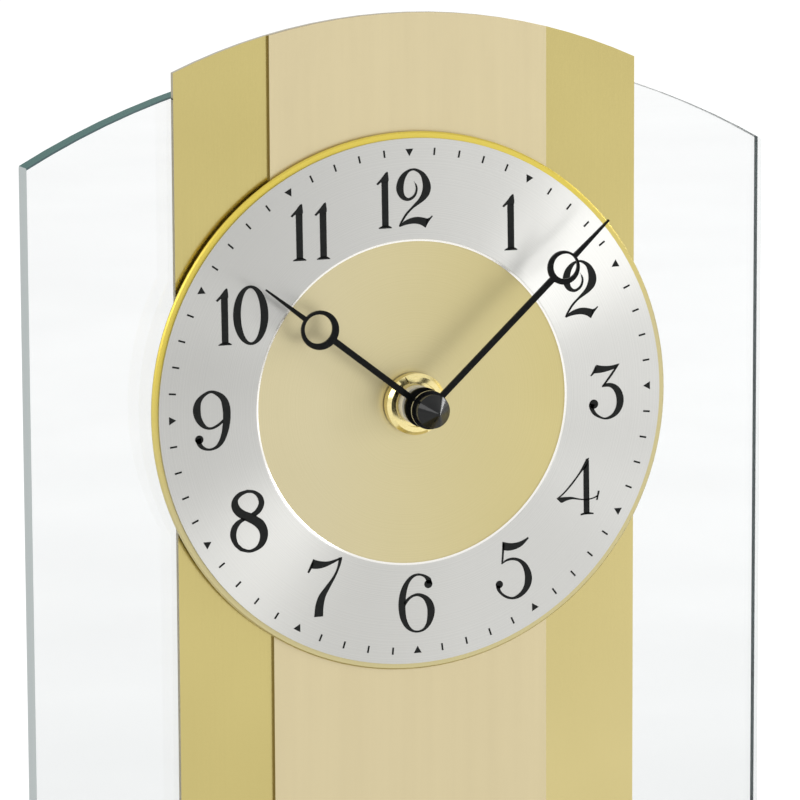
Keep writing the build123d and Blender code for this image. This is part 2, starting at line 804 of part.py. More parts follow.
with BuildPart() as middle_plate:
    with BuildSketch(facing(plate_back, 0.0, (plate_top + plate_foot) / 2)):
        Rectangle(2 * plate_half_width, plate_top - plate_foot)
    extrude(amount=plate_thickness)
    with BuildSketch(facing(plate_back)):
        notch_width = notch_right + plate_half_width
        notch_height = notch_top - plate_foot
        with Locations((notch_right - notch_width / 2, notch_top - notch_height / 2)):
            Rectangle(notch_width, notch_height)
        Circle(arbor_tail_radius + running_gap)
        with Locations(setting_axis):
            Circle(setting_shaft_radius + moving_gap)
        with Locations(*train_axes[1:]):
            Circle(train_pivot_radius + running_gap)
        with Locations(*upper_screws):
            Circle(case_screw_radius)
    extrude(amount=plate_thickness, mode=Mode.SUBTRACT)
finish(middle_plate.part, "middle_plate")

with BuildPart() as case_front:
    with BuildSketch(facing(plate_back, 0.0, case_full_middle)):
        RectangleRounded(2 * case_half_width, case_full_height, case_corner)
    extrude(amount=plate_back - case_face)
    with BuildSketch(facing(plate_back, 0.0, case_full_middle)):
        Rectangle(2 * bay_half_length, case_full_height - 2 * case_side)
    extrude(amount=plate_back - case_floor, mode=Mode.SUBTRACT)
    with BuildSketch(facing(plate_back, 0.0, bay_floor - bay_wall / 2)):
        Rectangle(2 * bay_half_length, bay_wall)
    extrude(amount=plate_back - case_floor)
    with BuildSketch(facing(plate_front)):
        with Locations(*upper_screws, prop):
            Circle(case_post_radius)
    extrude(amount=plate_front - case_floor)
    with BuildSketch(facing(plate_back)):
        with Locations(*lower_screws):
            Circle(case_post_radius)
        with Locations((0, -pivot_drop)):
            Circle(pivot_boss_radius)
        with Locations((0, -drive_coil_drop)):
            Circle(drive_coil_core)
    extrude(amount=plate_back - case_floor)
    with BuildSketch(facing(setting_boss_back, *setting_axis)):
        Circle(setting_boss_radius)
    extrude(amount=setting_boss_back - case_floor)
    with BuildSketch(facing(case_floor + board_boss_height, 0.0, board_middle)):
        with GridLocations(board_width - 2 * board_boss_radius, 0, 2, 1):
            Circle(board_boss_radius)
    extrude(amount=board_boss_height)
    with BuildSketch(facing(plate_back)):
        with Locations(*upper_screws, *lower_screws):
            Circle(case_screw_radius)
        with Locations((0, -pivot_drop)):
            Circle(pivot_radius)
    extrude(amount=plate_back - case_floor, mode=Mode.SUBTRACT)
    with BuildSketch(facing(setting_boss_back, *setting_axis)):
        Circle(setting_pivot_radius + running_gap)
    extrude(amount=setting_boss_back - case_floor, mode=Mode.SUBTRACT)
    with BuildSketch(facing(case_floor)):
        Circle(bush_radius)
    extrude(amount=case_plate, mode=Mode.SUBTRACT)
    with BuildSketch(facing(case_floor)):
        Circle(bush_flange_radius)
    extrude(amount=bush_flange_thickness, mode=Mode.SUBTRACT)
finish(case_front.part, "case_front")

with BuildPart() as case_back:
    with BuildSketch(facing(case_back_face, 0.0, case_middle)):
        RectangleRounded(2 * case_half_width, case_upper_height, case_corner)
    extrude(amount=case_back_face - plate_back)
    with BuildSketch(facing(pendulum_back_face, 0.0, case_full_middle)):
        RectangleRounded(2 * case_half_width, case_full_height, case_corner)
    extrude(amount=pendulum_plate)
    with BuildSketch(facing(case_ceiling, 0.0, case_middle)):
        Rectangle(2 * bay_half_length, case_upper_height - 2 * case_side)
    extrude(amount=case_ceiling - plate_back, mode=Mode.SUBTRACT)
    with BuildSketch(facing(case_back_face, 0.0, (bay_floor + bay_top) / 2)):
        Rectangle(2 * bay_half_length, bay_top - bay_floor)
    extrude(amount=case_plate, mode=Mode.SUBTRACT)
    with BuildSketch(facing(case_ceiling, 0.0, bay_floor - bay_wall / 2)):
        Rectangle(2 * bay_half_length, bay_wall)
    extrude(amount=case_ceiling - plate_back)
    with BuildSketch(facing(case_ceiling)):
        with Locations(*upper_screws):
            Circle(case_post_radius)
    extrude(amount=case_ceiling - plate_back)
    with BuildSketch(facing(case_ceiling)):
        with Locations(*train_axes[1:]):
            Circle(train_boss_radius)
    extrude(amount=case_ceiling - train_boss_front)
    with BuildSketch(facing(train_boss_front)):
        with Locations(*train_axes[1:]):
            Circle(train_pivot_radius + running_gap)
    extrude(amount=-train_pivot_length, mode=Mode.SUBTRACT)
    with BuildSketch(facing(case_back_face)):
        with Locations(*upper_screws, *lower_screws):
            Circle(case_screw_radius)
        with Locations(setting_axis):
            Circle(setting_shaft_radius + running_gap)
        with Locations((0, -pivot_drop)):
            Circle(pivot_radius)
    extrude(amount=case_back_face - plate_back, mode=Mode.SUBTRACT)
finish(case_back.part, "case_back")

with BuildPart() as case_screws:
    for screw_places, head_seat in ((upper_screws, case_back_face), (lower_screws, pendulum_back_face)):
        with BuildSketch(facing(head_seat)):
            with Locations(*screw_places):
                Circle(case_screw_radius)
        extrude(amount=head_seat - case_floor)
        with BuildSketch(facing(head_seat + case_screw_head_height)):
            with Locations(*screw_places):
                Circle(case_screw_head_radius)
        extrude(amount=case_screw_head_height)
finish(case_screws.part, "case_screws")

# Battery and contacts
with BuildPart() as battery:
    battery_start = -battery_length / 2
    with BuildSketch(Plane(origin=(battery_start, battery_level, dial_height + battery_height),
                           x_dir=(0, 1, 0), z_dir=(1, 0, 0))):
        Circle(battery_radius)
    extrude(amount=battery_length - battery_nub_length)
    fillet(battery.edges().filter_by(GeomType.CIRCLE), battery_edge)
    with BuildSketch(Plane(origin=(battery_length / 2, battery_level, dial_height + battery_height),
                           x_dir=(0, 1, 0), z_dir=(-1, 0, 0))):
        Circle(battery_nub_radius)
    extrude(amount=battery_nub_length)
finish(battery.part, "battery")

for contact_name, contact_side in (("negative_contact", -1), ("positive_contact", 1)):
    with BuildPart() as contact:
        contact_across = contact_side * (bay_half_length - contact_thickness / 2)
        with BuildSketch(facing(case_ceiling, contact_across, battery_height)):
            Rectangle(contact_thickness, contact_width)
        extrude(amount=case_ceiling - case_floor)
    finish(contact.part, contact_name)

# Motor and electronics
with BuildPart() as motor_stator:
    with BuildSketch(facing(plate_back + stator_thickness)):
        with Locations(rotor_axis):
            Circle(stator_outer)
        arm_left = coil_across - stator_leg / 2
        with Locations(((arm_left + rotor_axis[0]) / 2, coil_top + layer_gap + stator_leg / 2)):
            Rectangle(rotor_axis[0] - arm_left, stator_leg)
        with Locations((coil_across, (coil_top + stator_foot) / 2)):
            Rectangle(stator_thickness, coil_top - stator_foot + 2 * layer_gap)
        with Locations(((arm_left + rotor_axis[0]) / 2, stator_foot - stator_leg / 2)):
            Rectangle(rotor_axis[0] - arm_left + stator_leg, stator_leg)
        leg_top = rotor_axis[1] - stator_hole
        with Locations((rotor_axis[0], (leg_top + stator_foot) / 2)):
            Rectangle(stator_leg, leg_top - stator_foot)
        with Locations(rotor_axis):
            Circle(stator_hole, mode=Mode.SUBTRACT)
    extrude(amount=stator_thickness)
finish(motor_stator.part, "motor_stator")

with BuildPart() as motor_coil:
    coil_foot = dial_height + coil_top - motor_coil_length
    with BuildSketch(Plane(origin=(coil_across, stator_middle, coil_foot))):
        Circle(motor_coil_radius)
        Rectangle(stator_thickness, stator_thickness, mode=Mode.SUBTRACT)
    extrude(amount=motor_coil_length)
finish(motor_coil.part, "motor_coil")

with BuildPart() as circuit_board:
    with BuildSketch(facing(board_back, 0.0, board_middle)):
        Rectangle(board_width, board_height)
    extrude(amount=board_thickness)
finish(circuit_board.part, "circuit_board")

with BuildPart() as quartz_crystal:
    with BuildSketch(Plane(origin=(0, board_back + crystal_radius, dial_height + board_middle),
                           x_dir=(0, 1, 0), z_dir=(1, 0, 0))):
        Circle(crystal_radius)
    extrude(amount=crystal_length)
finish(quartz_crystal.part, "quartz_crystal")

with BuildPart() as drive_coil:
    with BuildSketch(facing(case_floor + drive_coil_length, 0.0, -drive_coil_drop)):
        Circle(drive_coil_radius)
        Circle(drive_coil_core, mode=Mode.SUBTRACT)
    extrude(amount=drive_coil_length)
finish(drive_coil.part, "drive_coil")

# Pendulum
with BuildPart() as pivot_pin:
    with BuildSketch(facing(pivot_end, 0.0, -pivot_drop)):
        Circle(pivot_radius)
    extrude(amount=pivot_end - case_floor)
finish(pivot_pin.part, "pivot_pin")

with BuildPart() as pivot_clip:
    with BuildSketch(facing(pivot_end, 0.0, -pivot_drop)):
        Circle(clip_radius)
        Circle(pivot_radius, mode=Mode.SUBTRACT)
    extrude(amount=clip_thickness)
finish(pivot_clip.part, "pivot_clip")

with BuildPart() as pendulum_arm:
    with BuildSketch(facing(arm_back)):
        with Locations((0, -pivot_drop)):
            Circle(arm_hub_radius)
        with Locations((0, (arm_foot - pivot_drop) / 2)):
            Rectangle(arm_width, -pivot_drop - arm_foot)
        with Locations((0, -pivot_drop)):
            Circle(pivot_radius + running_gap, mode=Mode.SUBTRACT)
    extrude(amount=arm_thickness)
    with BuildSketch(facing(arm_front, 0.0, -drive_coil_drop)):
        Circle(magnet_radius)
    extrude(amount=-magnet_thickness, mode=Mode.SUBTRACT)
    with BuildSketch(Plane(origin=(0, rod_level, dial_height + arm_foot))):
        Circle(rod_radius)
    extrude(amount=rod_socket, mode=Mode.SUBTRACT)
finish(pendulum_arm.part, "pendulum_arm")

with BuildPart() as pendulum_magnet:
    with BuildSketch(facing(arm_front, 0.0, -drive_coil_drop)):
        Circle(magnet_radius)
    extrude(amount=-magnet_thickness)
finish(pendulum_magnet.part, "pendulum_magnet")

with BuildPart() as pendulum_rod:
    with BuildSketch(Plane(origin=(0, rod_level, dial_height + rod_foot))):
        Circle(rod_radius)
    extrude(amount=arm_foot + rod_socket - rod_foot)
finish(pendulum_rod.part, "pendulum_rod")

with BuildPart() as pendulum_bob:
    bob_height = dial_height - bob_drop
    with BuildSketch(Plane.YZ):
        with BuildLine():
            rim_height = bob_height + bob_radius
            front_crown = (rod_level - bob_thickness / 2, bob_height)
            back_crown = (rod_level + bob_thickness / 2, bob_height)
            front_rim = (rod_level - bob_rim / 2, rim_height)
            back_rim = (rod_level + bob_rim / 2, rim_height)
            TangentArc(front_crown, front_rim, tangent=(0, 1))
            Line(front_rim, back_rim)
            TangentArc(back_crown, back_rim, tangent=(0, 1))
            Line(back_crown, front_crown)
        make_face()
    revolve(axis=Axis((0, rod_level, bob_height), (0, 1, 0)))
    with BuildSketch(Plane(origin=(0, rod_level, dial_height + bob_bottom))):
        Circle(rod_radius)
    extrude(amount=2 * bob_radius, mode=Mode.SUBTRACT)
finish(pendulum_bob.part, "pendulum_bob")

with BuildPart() as rating_nut:
    with BuildSketch(Plane(origin=(0, rod_level, dial_height + bob_bottom - rating_nut_height))):
        Circle(rating_nut_radius)
        Circle(rod_radius, mode=Mode.SUBTRACT)
    extrude(amount=rating_nut_height)
finish(rating_nut.part, "rating_nut")
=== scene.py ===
# %% [markdown]
# # Dressing a desk pendulum clock
# The clock's solids are already made: plates, dial, hands, movement, pendulum and base. This
# lesson loads them as a frame that never moves, then sets up a small studio, gives each solid its
# finish, prints the dial and lays the felt. One could start from an empty scene and model the
# clock again, but then its looks and its solids would drift apart.

# %% Load the clock
import json
import math
import bpy
import numpy as np
from mathutils import Matrix, Vector


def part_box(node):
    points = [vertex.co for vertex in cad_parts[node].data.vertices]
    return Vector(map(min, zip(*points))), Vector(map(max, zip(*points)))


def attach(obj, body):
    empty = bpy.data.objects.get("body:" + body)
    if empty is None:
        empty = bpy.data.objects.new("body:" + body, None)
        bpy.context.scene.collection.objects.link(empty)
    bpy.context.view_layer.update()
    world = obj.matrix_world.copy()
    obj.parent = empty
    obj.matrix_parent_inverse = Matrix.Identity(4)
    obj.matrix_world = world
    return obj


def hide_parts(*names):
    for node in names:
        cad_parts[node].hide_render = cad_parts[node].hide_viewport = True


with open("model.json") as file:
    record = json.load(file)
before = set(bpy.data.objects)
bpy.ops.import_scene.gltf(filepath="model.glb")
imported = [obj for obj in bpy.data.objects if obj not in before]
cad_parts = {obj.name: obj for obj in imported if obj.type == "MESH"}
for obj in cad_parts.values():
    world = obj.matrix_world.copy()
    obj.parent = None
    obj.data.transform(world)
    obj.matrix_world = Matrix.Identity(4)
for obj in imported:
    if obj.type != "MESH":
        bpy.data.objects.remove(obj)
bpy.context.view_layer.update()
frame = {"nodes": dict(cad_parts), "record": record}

MM = 0.001
clock_scene = bpy.context.scene
print("pieces of the clock:", len(frame["nodes"]))

# %% [markdown]
# ## The camera
# A long lens stands well back, a little to the left of the dial and above it, so the upright
# edges stay nearly parallel. The place could be found by dragging the view about. Writing it as
# angles, a distance and a point to aim at says what the view is, and gives the same picture each
# time.

# %% Set the camera
view_turn, view_rise, view_roll = (math.radians(angle) for angle in (-19.57, 9.07, -0.27))
view_distance = 1017.7 * MM
aim_point = Vector((-2.46, -7.0, 200.54)) * MM
sensor_width, focal_length = 36.0, 222.53
nearest, farthest = 0.05, 60.0

toward_camera = Vector((math.sin(view_turn) * math.cos(view_rise),
                        -math.cos(view_turn) * math.cos(view_rise),
                        math.sin(view_rise)))
level_right = Vector((math.cos(view_turn), math.sin(view_turn), 0.0))
level_up = toward_camera.cross(level_right)
frame_right = level_right * math.cos(view_roll) + level_up * math.sin(view_roll)
frame_up = level_up * math.cos(view_roll) - level_right * math.sin(view_roll)
view_frame = Matrix((frame_right, frame_up, toward_camera)).transposed().to_4x4()

camera_data = bpy.data.cameras.new("long_lens")
camera_data.sensor_width, camera_data.lens = sensor_width, focal_length
camera_data.clip_start, camera_data.clip_end = nearest, farthest
camera = bpy.data.objects.new("camera", camera_data)
camera.matrix_world = Matrix.Translation(aim_point + toward_camera * view_distance) @ view_frame
clock_scene.collection.objects.link(camera)
clock_scene.camera = camera
clock_scene.view_settings.view_transform = "Standard"
print("camera at", [round(v, 3) for v in camera.matrix_world.translation])

# %% [markdown]
# ## Nodes in few words
# Every finish below is a small chain of nodes that ends in one Principled surface, which can be
# metal, glass or paint. Wiring the nodes by hand in the shader editor works too, but is hard to
# read again later. These helpers start an empty tree, add one node to it, make one value from
# two, and give the place on the object.

# %% Helpers that add nodes
def cleared(made):
    """A material or sky with an empty node tree."""
    made.use_nodes = True
    made.node_tree.nodes.clear()
    return made


def put(made, kind, values=None, wires=None, **options):
    """Adds one node: options are its settings, values its own sockets, wires what feeds it."""
    added = made.node_tree.nodes.new("ShaderNode" + kind)
    for option, value in options.items():
        setattr(added, option, value)
    for socket, value in (values or {}).items():
        added.inputs[socket].default_value = value
    for socket, source in (wires or {}).items():
        made.node_tree.links.new(source, added.inputs[socket])
    return added


def combine(made, operation, first, second):
    """One value from two, by ADD, MULTIPLY or MAXIMUM."""
    return put(made, "Math", wires={0: first, 1: second}, operation=operation).outputs[0]


def place_on_object(made, stretch=(1.0, 1.0, 1.0), centre=(0.0, 0.0, 0.0)):
    """Object coordinates less the centre, each times its stretch."""
    sockets = {"Location": [-s * c for s, c in zip(stretch, centre)], "Scale": stretch}
    where = put(made, "TexCoord").outputs["Object"]
    return put(made, "Mapping", sockets, {"Vector": where}).outputs[0]


node_kinds = [kind for kind in dir(bpy.types) if kind.startswith("ShaderNode")]
print("kinds of shader node at hand:", len(node_kinds))

# %% [markdown]
# ## From noise to tones
# A real surface is never one tone, so each finish starts from noise, a soft random pattern that
# comes out the same each time. A picture of metal could be wrapped round instead, but it would
# stretch and repeat. Nearly all of a noise lies between 0.3 and 0.7, so that range is carried
# onto the tones.

# %% Helpers that turn numbers into tones
usual_noise, full_range = (0.3, 0.7), (0.0, 1.0)


def noise(made, fineness, detail=3.0, roughness=0.5):
    """Noise on the object; fineness is its waves in a metre, one number or one per axis."""
    stretch = [float(waves) for waves in np.broadcast_to(fineness, 3)]
    sockets = {"Scale": 1.0, "Detail": detail, "Roughness": roughness}
    return put(made, "TexNoise", sockets, {"Vector": place_on_object(made, stretch)}).outputs["Fac"]


def span(made, value, low, high, ends=full_range):
    """Carries the range between the two ends onto low to high."""
    sockets = {"From Min": ends[0], "From Max": ends[1], "To Min": low, "To Max": high}
    return put(made, "MapRange", sockets, {"Value": value}).outputs[0]


def share(made, value, start, end):
    """0 up to the start, 1 from the end on, and even between them."""
    return span(made, value, 0.0, 1.0, (start, end))


def tones(made, value, dark, light, ends=usual_noise):
    """A colour for each value, in linear light: dark at the first end, light at the second."""
    ramp = put(made, "ValToRGB", wires={"Fac": value})
    for element, at, colour in zip(ramp.color_ramp.elements, ends, (dark, light)):
        element.position, element.color = at, (*colour, 1.0)
    return ramp.outputs["Color"]


print("range taken from a noise:", usual_noise)

# %% [markdown]
# ## The white sky
# The clock stands before plain white. Pouring light on a backdrop until it is white would bleach
# the clock as well. So the sky lights the clock at a plain level, and it is full white only where
# the camera sees it: directly, mirrored in metal or through the glass.

# %% Make the sky
def seen_directly(made):
    """1 for rays from the camera and for mirrored and refracted ones, else 0."""
    path = put(made, "LightPath")
    seen = path.outputs["Is Camera Ray"]
    for other in ("Is Glossy Ray", "Is Transmission Ray"):
        seen = combine(made, "MAXIMUM", seen, path.outputs[other])
    return seen


white, sky_strength = (1.0, 1.0, 1.0, 1.0), 0.70
sky = cleared(bpy.data.worlds.new("white_sky"))
sky_light = put(sky, "Background", {"Color": white, "Strength": sky_strength}).outputs[0]
sky_white = put(sky, "Background", {"Color": white, "Strength": 1.0}).outputs[0]
sky_pick = put(sky, "MixShader", wires={0: seen_directly(sky), 1: sky_light, 2: sky_white})
put(sky, "OutputWorld", wires={"Surface": sky_pick.outputs[0]})
clock_scene.world = sky
print("sky lights the clock at", sky_strength)

# %% [markdown]
# ## The floor
# The floor is pale and matt and takes the clock's shadow. A plane would do, but its corners would
# show in the polished metal, so this is a wide disc. What is seen of it glows a little more the
# farther out it lies, until it runs into the white.

# %% Shape of the floor
def mesh_object(name, points, faces, finish, smooth=False):
    """A mesh object at the origin from an array of points and lists of faces."""
    mesh = bpy.data.meshes.new(name)
    mesh.from_pydata(np.asarray(points, float).tolist(), [], faces)
    mesh.update()
    mesh.polygons.foreach_set("use_smooth", np.full(len(mesh.polygons), smooth))
    mesh.materials.append(finish)
    made = bpy.data.objects.new(name, mesh)
    clock_scene.collection.objects.link(made)
    return made


def ring_faces(rings, turns, underside=False):
    """Faces of rings of points round a middle point: four corners between neighbouring rings, three
    to the first point, and three to the last point as well where the shape has an underside."""
    i, j = np.meshgrid(np.arange(rings - 1), np.arange(turns), indexing="ij")
    inner, outer, following = 1 + i * turns, 1 + (i + 1) * turns, (j + 1) % turns
    between = np.stack([inner + j, outer + j, outer + following, inner + following], -1)
    t, after = np.arange(turns), (np.arange(turns) + 1) % turns
    faces = [*between.reshape(-1, 4).tolist(), *np.stack([0 * t, 1 + t, 1 + after], -1).tolist()]
    if underside:
        last = 1 + (rings - 1) * turns
        faces += np.stack([0 * t + last + turns, last + after, last + t], -1).tolist()
    return faces


def floor_disc(radius, rings, turns):
    """Point (r, a) of a flat disc: x = r cos a, y = r sin a, z = 0, with r growing as a square."""
    reach = radius * (np.arange(1, rings + 1) / rings) ** 2
    r, a = np.meshgrid(reach, np.arange(turns) * 2 * np.pi / turns, indexing="ij")
    grid = np.stack([r * np.cos(a), r * np.sin(a), 0 * r], -1)
    return np.vstack([[[0, 0, 0]], grid.reshape(-1, 3)]), ring_faces(rings, turns)


floor_points, floor_faces = floor_disc(radius=12.0, rings=10, turns=64)
print("floor points:", len(floor_points), "faces:", len(floor_faces))

# %% [markdown]
# ## Paint on the floor
# A studio floor is matt paint with a faint mottle. An ordinary white paint would turn grey
# towards the horizon, because less light falls there. So a weak glow, which only the camera, the
# metal and the glass see, is added to the paint, and the shadow close to the clock stays as it
# falls.

# %% Finish of the floor
def length_of(made, vector):
    """How long a vector is."""
    return put(made, "VectorMath", wires={0: vector}, operation="LENGTH").outputs["Value"]


floor_finish = cleared(bpy.data.materials.new("pale_floor"))
floor_tone = tones(floor_finish, noise(floor_finish, 9.0), (0.78, 0.78, 0.78), (0.82, 0.82, 0.82))
floor_paint = put(floor_finish, "BsdfDiffuse", wires={"Color": floor_tone}).outputs[0]
floor_reach = length_of(floor_finish, place_on_object(floor_finish))
floor_fade = span(floor_finish, floor_reach, 0.20, 0.50, (0.4, 3.0))
floor_white = combine(floor_finish, "MULTIPLY", floor_fade, seen_directly(floor_finish))
floor_glow = put(floor_finish, "Emission", {"Color": white}, {"Strength": floor_white}).outputs[0]
floor_sum = put(floor_finish, "AddShader", wires={0: floor_paint, 1: floor_glow}).outputs[0]
put(floor_finish, "OutputMaterial", wires={"Surface": floor_sum})
floor = mesh_object("floor", floor_points, floor_faces, floor_finish)
print("floor finish:", floor_finish.name)

# %% [markdown]
# ## Four soft boxes
# A photographer lights a glossy clock with large soft lamps: one at the right in front, a weaker
# one at the left, one above and behind, and one at the right side for the fans on the hour ring.
# Bare bulbs would make hard spots in the metal. Each lamp here is a square that faces the clock.

# %% Hang the lamps
def soft_box(name, place, aim_height, side, power):
    """A square area lamp at a place, turned to face the clock's middle line at that height."""
    data = bpy.data.lights.new(name, "AREA")
    data.shape, data.size, data.energy = "SQUARE", side, power
    toward = Vector((0, 0, aim_height)) - Vector(place)
    lamp = bpy.data.objects.new(name, data)
    turned = toward.to_track_quat("-Z", "Y").to_matrix().to_4x4()
    lamp.matrix_world = Matrix.Translation(place) @ turned
    clock_scene.collection.objects.link(lamp)


soft_box("key_box", (1.75, -1.35, 0.68), 0.18, side=0.75, power=10.5)
soft_box("fill_box", (-1.7, -0.8, 1.05), 0.18, side=0.8, power=6.5)
soft_box("top_box", (0.1, 0.5, 1.9), 0.15, side=0.9, power=9.0)
soft_box("side_box", (1.95, 0.45, 1.22), 0.2, side=0.6, power=11.0)

# %% [markdown]
# ## Joining a finish to the solids
# The record of the clock names a material slot for each solid, so one finish can go to all that
# share a slot. Each could be dressed by hand instead, but then a new solid would be forgotten.
# The other helpers join values to the Principled surface and find which way a face points.

# %% Helpers that finish a solid
def new_finish(name, settings=None):
    """An empty finish and its Principled surface, with the settings on the surface's own sockets."""
    made = cleared(bpy.data.materials.new(name))
    surface = put(made, "BsdfPrincipled", settings)
    put(made, "OutputMaterial", wires={"Surface": surface.outputs[0]})
    return made, surface


def feed(made, surface, **sources):
    """Joins outputs to the surface, each under a plain word."""
    names = {"colour": "Base Color", "rough": "Roughness", "metal": "Metallic",
             "clear": "Transmission Weight", "normal": "Normal", "tangent": "Tangent"}
    for word, source in sources.items():
        made.node_tree.links.new(source, surface.inputs[names[word]])


def blend(made, part, first, second):
    """First colour where the part is 0, second where it is 1."""
    return put(made, "MixRGB", wires={"Fac": part, "Color1": first, "Color2": second}).outputs[0]


def relief(made, height, depth, strength):
    """A bump of that depth in metres from a height between 0 and 1."""
    return put(made, "Bump", {"Strength": strength, "Distance": depth}, {"Height": height}).outputs[0]


def part_of(made, vector, axis):
    """The X, Y or Z part of a vector."""
    return put(made, "SeparateXYZ", wires={0: vector}).outputs[axis]


def facing(made, axis):
    """How squarely a face points along an axis: the size of that part of its true normal."""
    along = part_of(made, put(made, "NewGeometry").outputs["True Normal"], axis)
    return put(made, "Math", wires={0: along}, operation="ABSOLUTE").outputs[0]


def dress(nodes, made):
    """Gives one finish to each of these solids."""
    for node in nodes:
        mesh = frame["nodes"][node].data
        mesh.materials.clear()
        mesh.materials.append(made)
    print(made.name, "on", ", ".join(nodes))


slot_nodes = {}
for row in frame["record"]["subparts"]:
    slot_nodes.setdefault(row["material_slot"], []).append(row["node"])
metal = {"Metallic": 1.0}
print("material slots:", len(slot_nodes))

# %% [markdown]
# ## Polished brass plate
# The wide arched plate behind the dial is brass, polished and lacquered, so it is smooth and a
# little cloudy. Low on the right it is painted paler, a painted light, and its sawn edges are
# darker. A flat yellow would look like paper. Two noises do it: a broad one for the clouding and a
# long thin one for the polishing lines, both tied to the plate's own coordinates.

# %% Finish of the polished brass
def cut_edges(made):
    """1 on a plate's cut edges, 0 on its front and back."""
    return span(made, facing(made, "Y"), 1.0, 0.0, (0.3, 0.6))


brass, brass_surface = new_finish("polished_brass", metal)
brass_cloud = noise(brass, 22.0, detail=2.0)
brass_lines = noise(brass, (2600, 2600, 30))
brass_deep = tones(brass, brass_cloud, (0.520, 0.436, 0.170), (0.566, 0.478, 0.192))
# A paler copy of the brass: painted light for the lower right of the plate.
brass_painted_light = tones(brass, brass_cloud, (0.554, 0.468, 0.208), (0.602, 0.512, 0.234))
brass_cut = tones(brass, brass_cloud, (0.22, 0.19, 0.10), (0.28, 0.24, 0.13))
# Where the painted light falls: right of the middle and low on the plate.
brass_right = share(brass, part_of(brass, place_on_object(brass), "X"), 0.0, 0.030)
brass_low = span(brass, part_of(brass, place_on_object(brass), "Z"), 1.0, 0.0, (0.13, 0.24))
brass_lit_corner = combine(brass, "MULTIPLY", brass_right, brass_low)
brass_polished_with_light = blend(brass, brass_lit_corner, brass_deep, brass_painted_light)
feed(brass, brass_surface,
     colour=blend(brass, cut_edges(brass), brass_polished_with_light, brass_cut),
     rough=span(brass, brass_lines, 0.17, 0.25, usual_noise),
     normal=relief(brass, brass_lines, 0.004 * MM, 0.25))
dress(slot_nodes["polished_brass"], brass)

# %% [markdown]
# ## Brushed centre strip
# The raised strip down the middle is paler and brushed upright: fine lines a quarter of a
# millimetre wide and about a centimetre long. Its sawn side walls are painted dark, a painted
# shade. An image of brushed metal would stretch and repeat. Noise squeezed hard across the strip
# and less along it gives lines that never do.

# %% Finish of the brushed strip
def mixed_noise(made, first, second):
    """Two noises added, with the usual range of their sum carried onto 0 to 1."""
    return share(made, combine(made, "ADD", first, second), *(2 * end for end in usual_noise))


strip, strip_surface = new_finish("brushed_brass", metal)
strip_fine = noise(strip, (4200, 900, 90), detail=4.0, roughness=0.65)
strip_wide = noise(strip, (300, 90, 9), detail=2.0)
strip_brushed = tones(strip, mixed_noise(strip, strip_fine, strip_wide),
                      (0.598, 0.513, 0.316), (0.634, 0.548, 0.340), full_range)
# The sawn side walls get a dark brown: a painted shade.
strip_wall_shade = tones(strip, strip_fine, (0.22, 0.165, 0.050), (0.30, 0.225, 0.075))
feed(strip, strip_surface,
     colour=blend(strip, cut_edges(strip), strip_brushed, strip_wall_shade),
     rough=span(strip, strip_fine, 0.30, 0.46, usual_noise),
     normal=relief(strip, strip_fine, 0.01 * MM, 0.5))
dress(slot_nodes["brushed_brass"], strip)

# %% [markdown]
# ## The dial disc
# The dial is one anodised disc. Its matt middle is painted warmer to the right, a painted
# reflection, and its bright rim has painted light, deepest gold at the top and fading downwards.
# It could be two pieces, but the real one is turned from one sheet. The distance from its axis,
# worked out in nodes, tells the rim from the middle and also draws the faint turning rings.

# %% Finish of the dial disc
dial_centre = (0.0, 0.0, 0.2)
rim_start, rim_full = 54.0 * MM, 54.4 * MM
# Direction of the painted light on the rim: from above, a little from the left.
rim_painted_light_from = (-0.35, 0.0, 1.0)


def from_axis(made):
    """Place on the dial from its axis, (x, 0, z), and the length of it in metres."""
    flat = place_on_object(made, (1.0, 0.0, 1.0), dial_centre)
    return flat, length_of(made, flat)


def ring_noise(made, radius, fineness, detail=3.0):
    """Noise that depends on the radius alone, so it draws full circles."""
    sockets = {"Scale": fineness, "Detail": detail}
    return put(made, "TexNoise", sockets, {"W": radius}, noise_dimensions="1D").outputs["Fac"]


gold, gold_surface = new_finish("dial_gold", metal)
gold_flat, gold_radius = from_axis(gold)
gold_rings = ring_noise(gold, gold_radius, 5200.0)
gold_shade = mixed_noise(gold, gold_rings, noise(gold, 30.0, detail=2.0))
# Painted reflection: a pale copy of the gold on the left of the middle and a warmer one on the right.
gold_painted_pale_left = tones(gold, gold_shade, (0.560, 0.497, 0.306), (0.618, 0.550, 0.346), full_range)
gold_painted_warm_right = tones(gold, gold_shade, (0.536, 0.460, 0.208), (0.594, 0.513, 0.246), full_range)
gold_painted_across = share(gold, part_of(gold, gold_flat, "X"), -0.020, 0.030)
gold_middle_painted = blend(gold, gold_painted_across, gold_painted_pale_left, gold_painted_warm_right)
# Painted light on the rim: its gold grows deeper and brighter towards the top.
gold_toward_painted_light = put(gold, "VectorMath", {1: rim_painted_light_from}, {0: gold_flat}, operation="DOT_PRODUCT")
gold_rim_painted_share = share(gold, gold_toward_painted_light.outputs["Value"], -0.005, 0.030)
gold_rim_painted_light = tones(gold, gold_rim_painted_share, (0.545, 0.480, 0.255), (0.66, 0.53, 0.100), full_range)
gold_rim = share(gold, gold_radius, rim_start, rim_full)
feed(gold, gold_surface,
     colour=blend(gold, gold_rim, gold_middle_painted, gold_rim_painted_light),
     rough=span(gold, gold_rim, 0.38, 0.40),
     normal=relief(gold, gold_rings, 0.004 * MM, 0.3))
dress(slot_nodes["dial_gold"], gold)

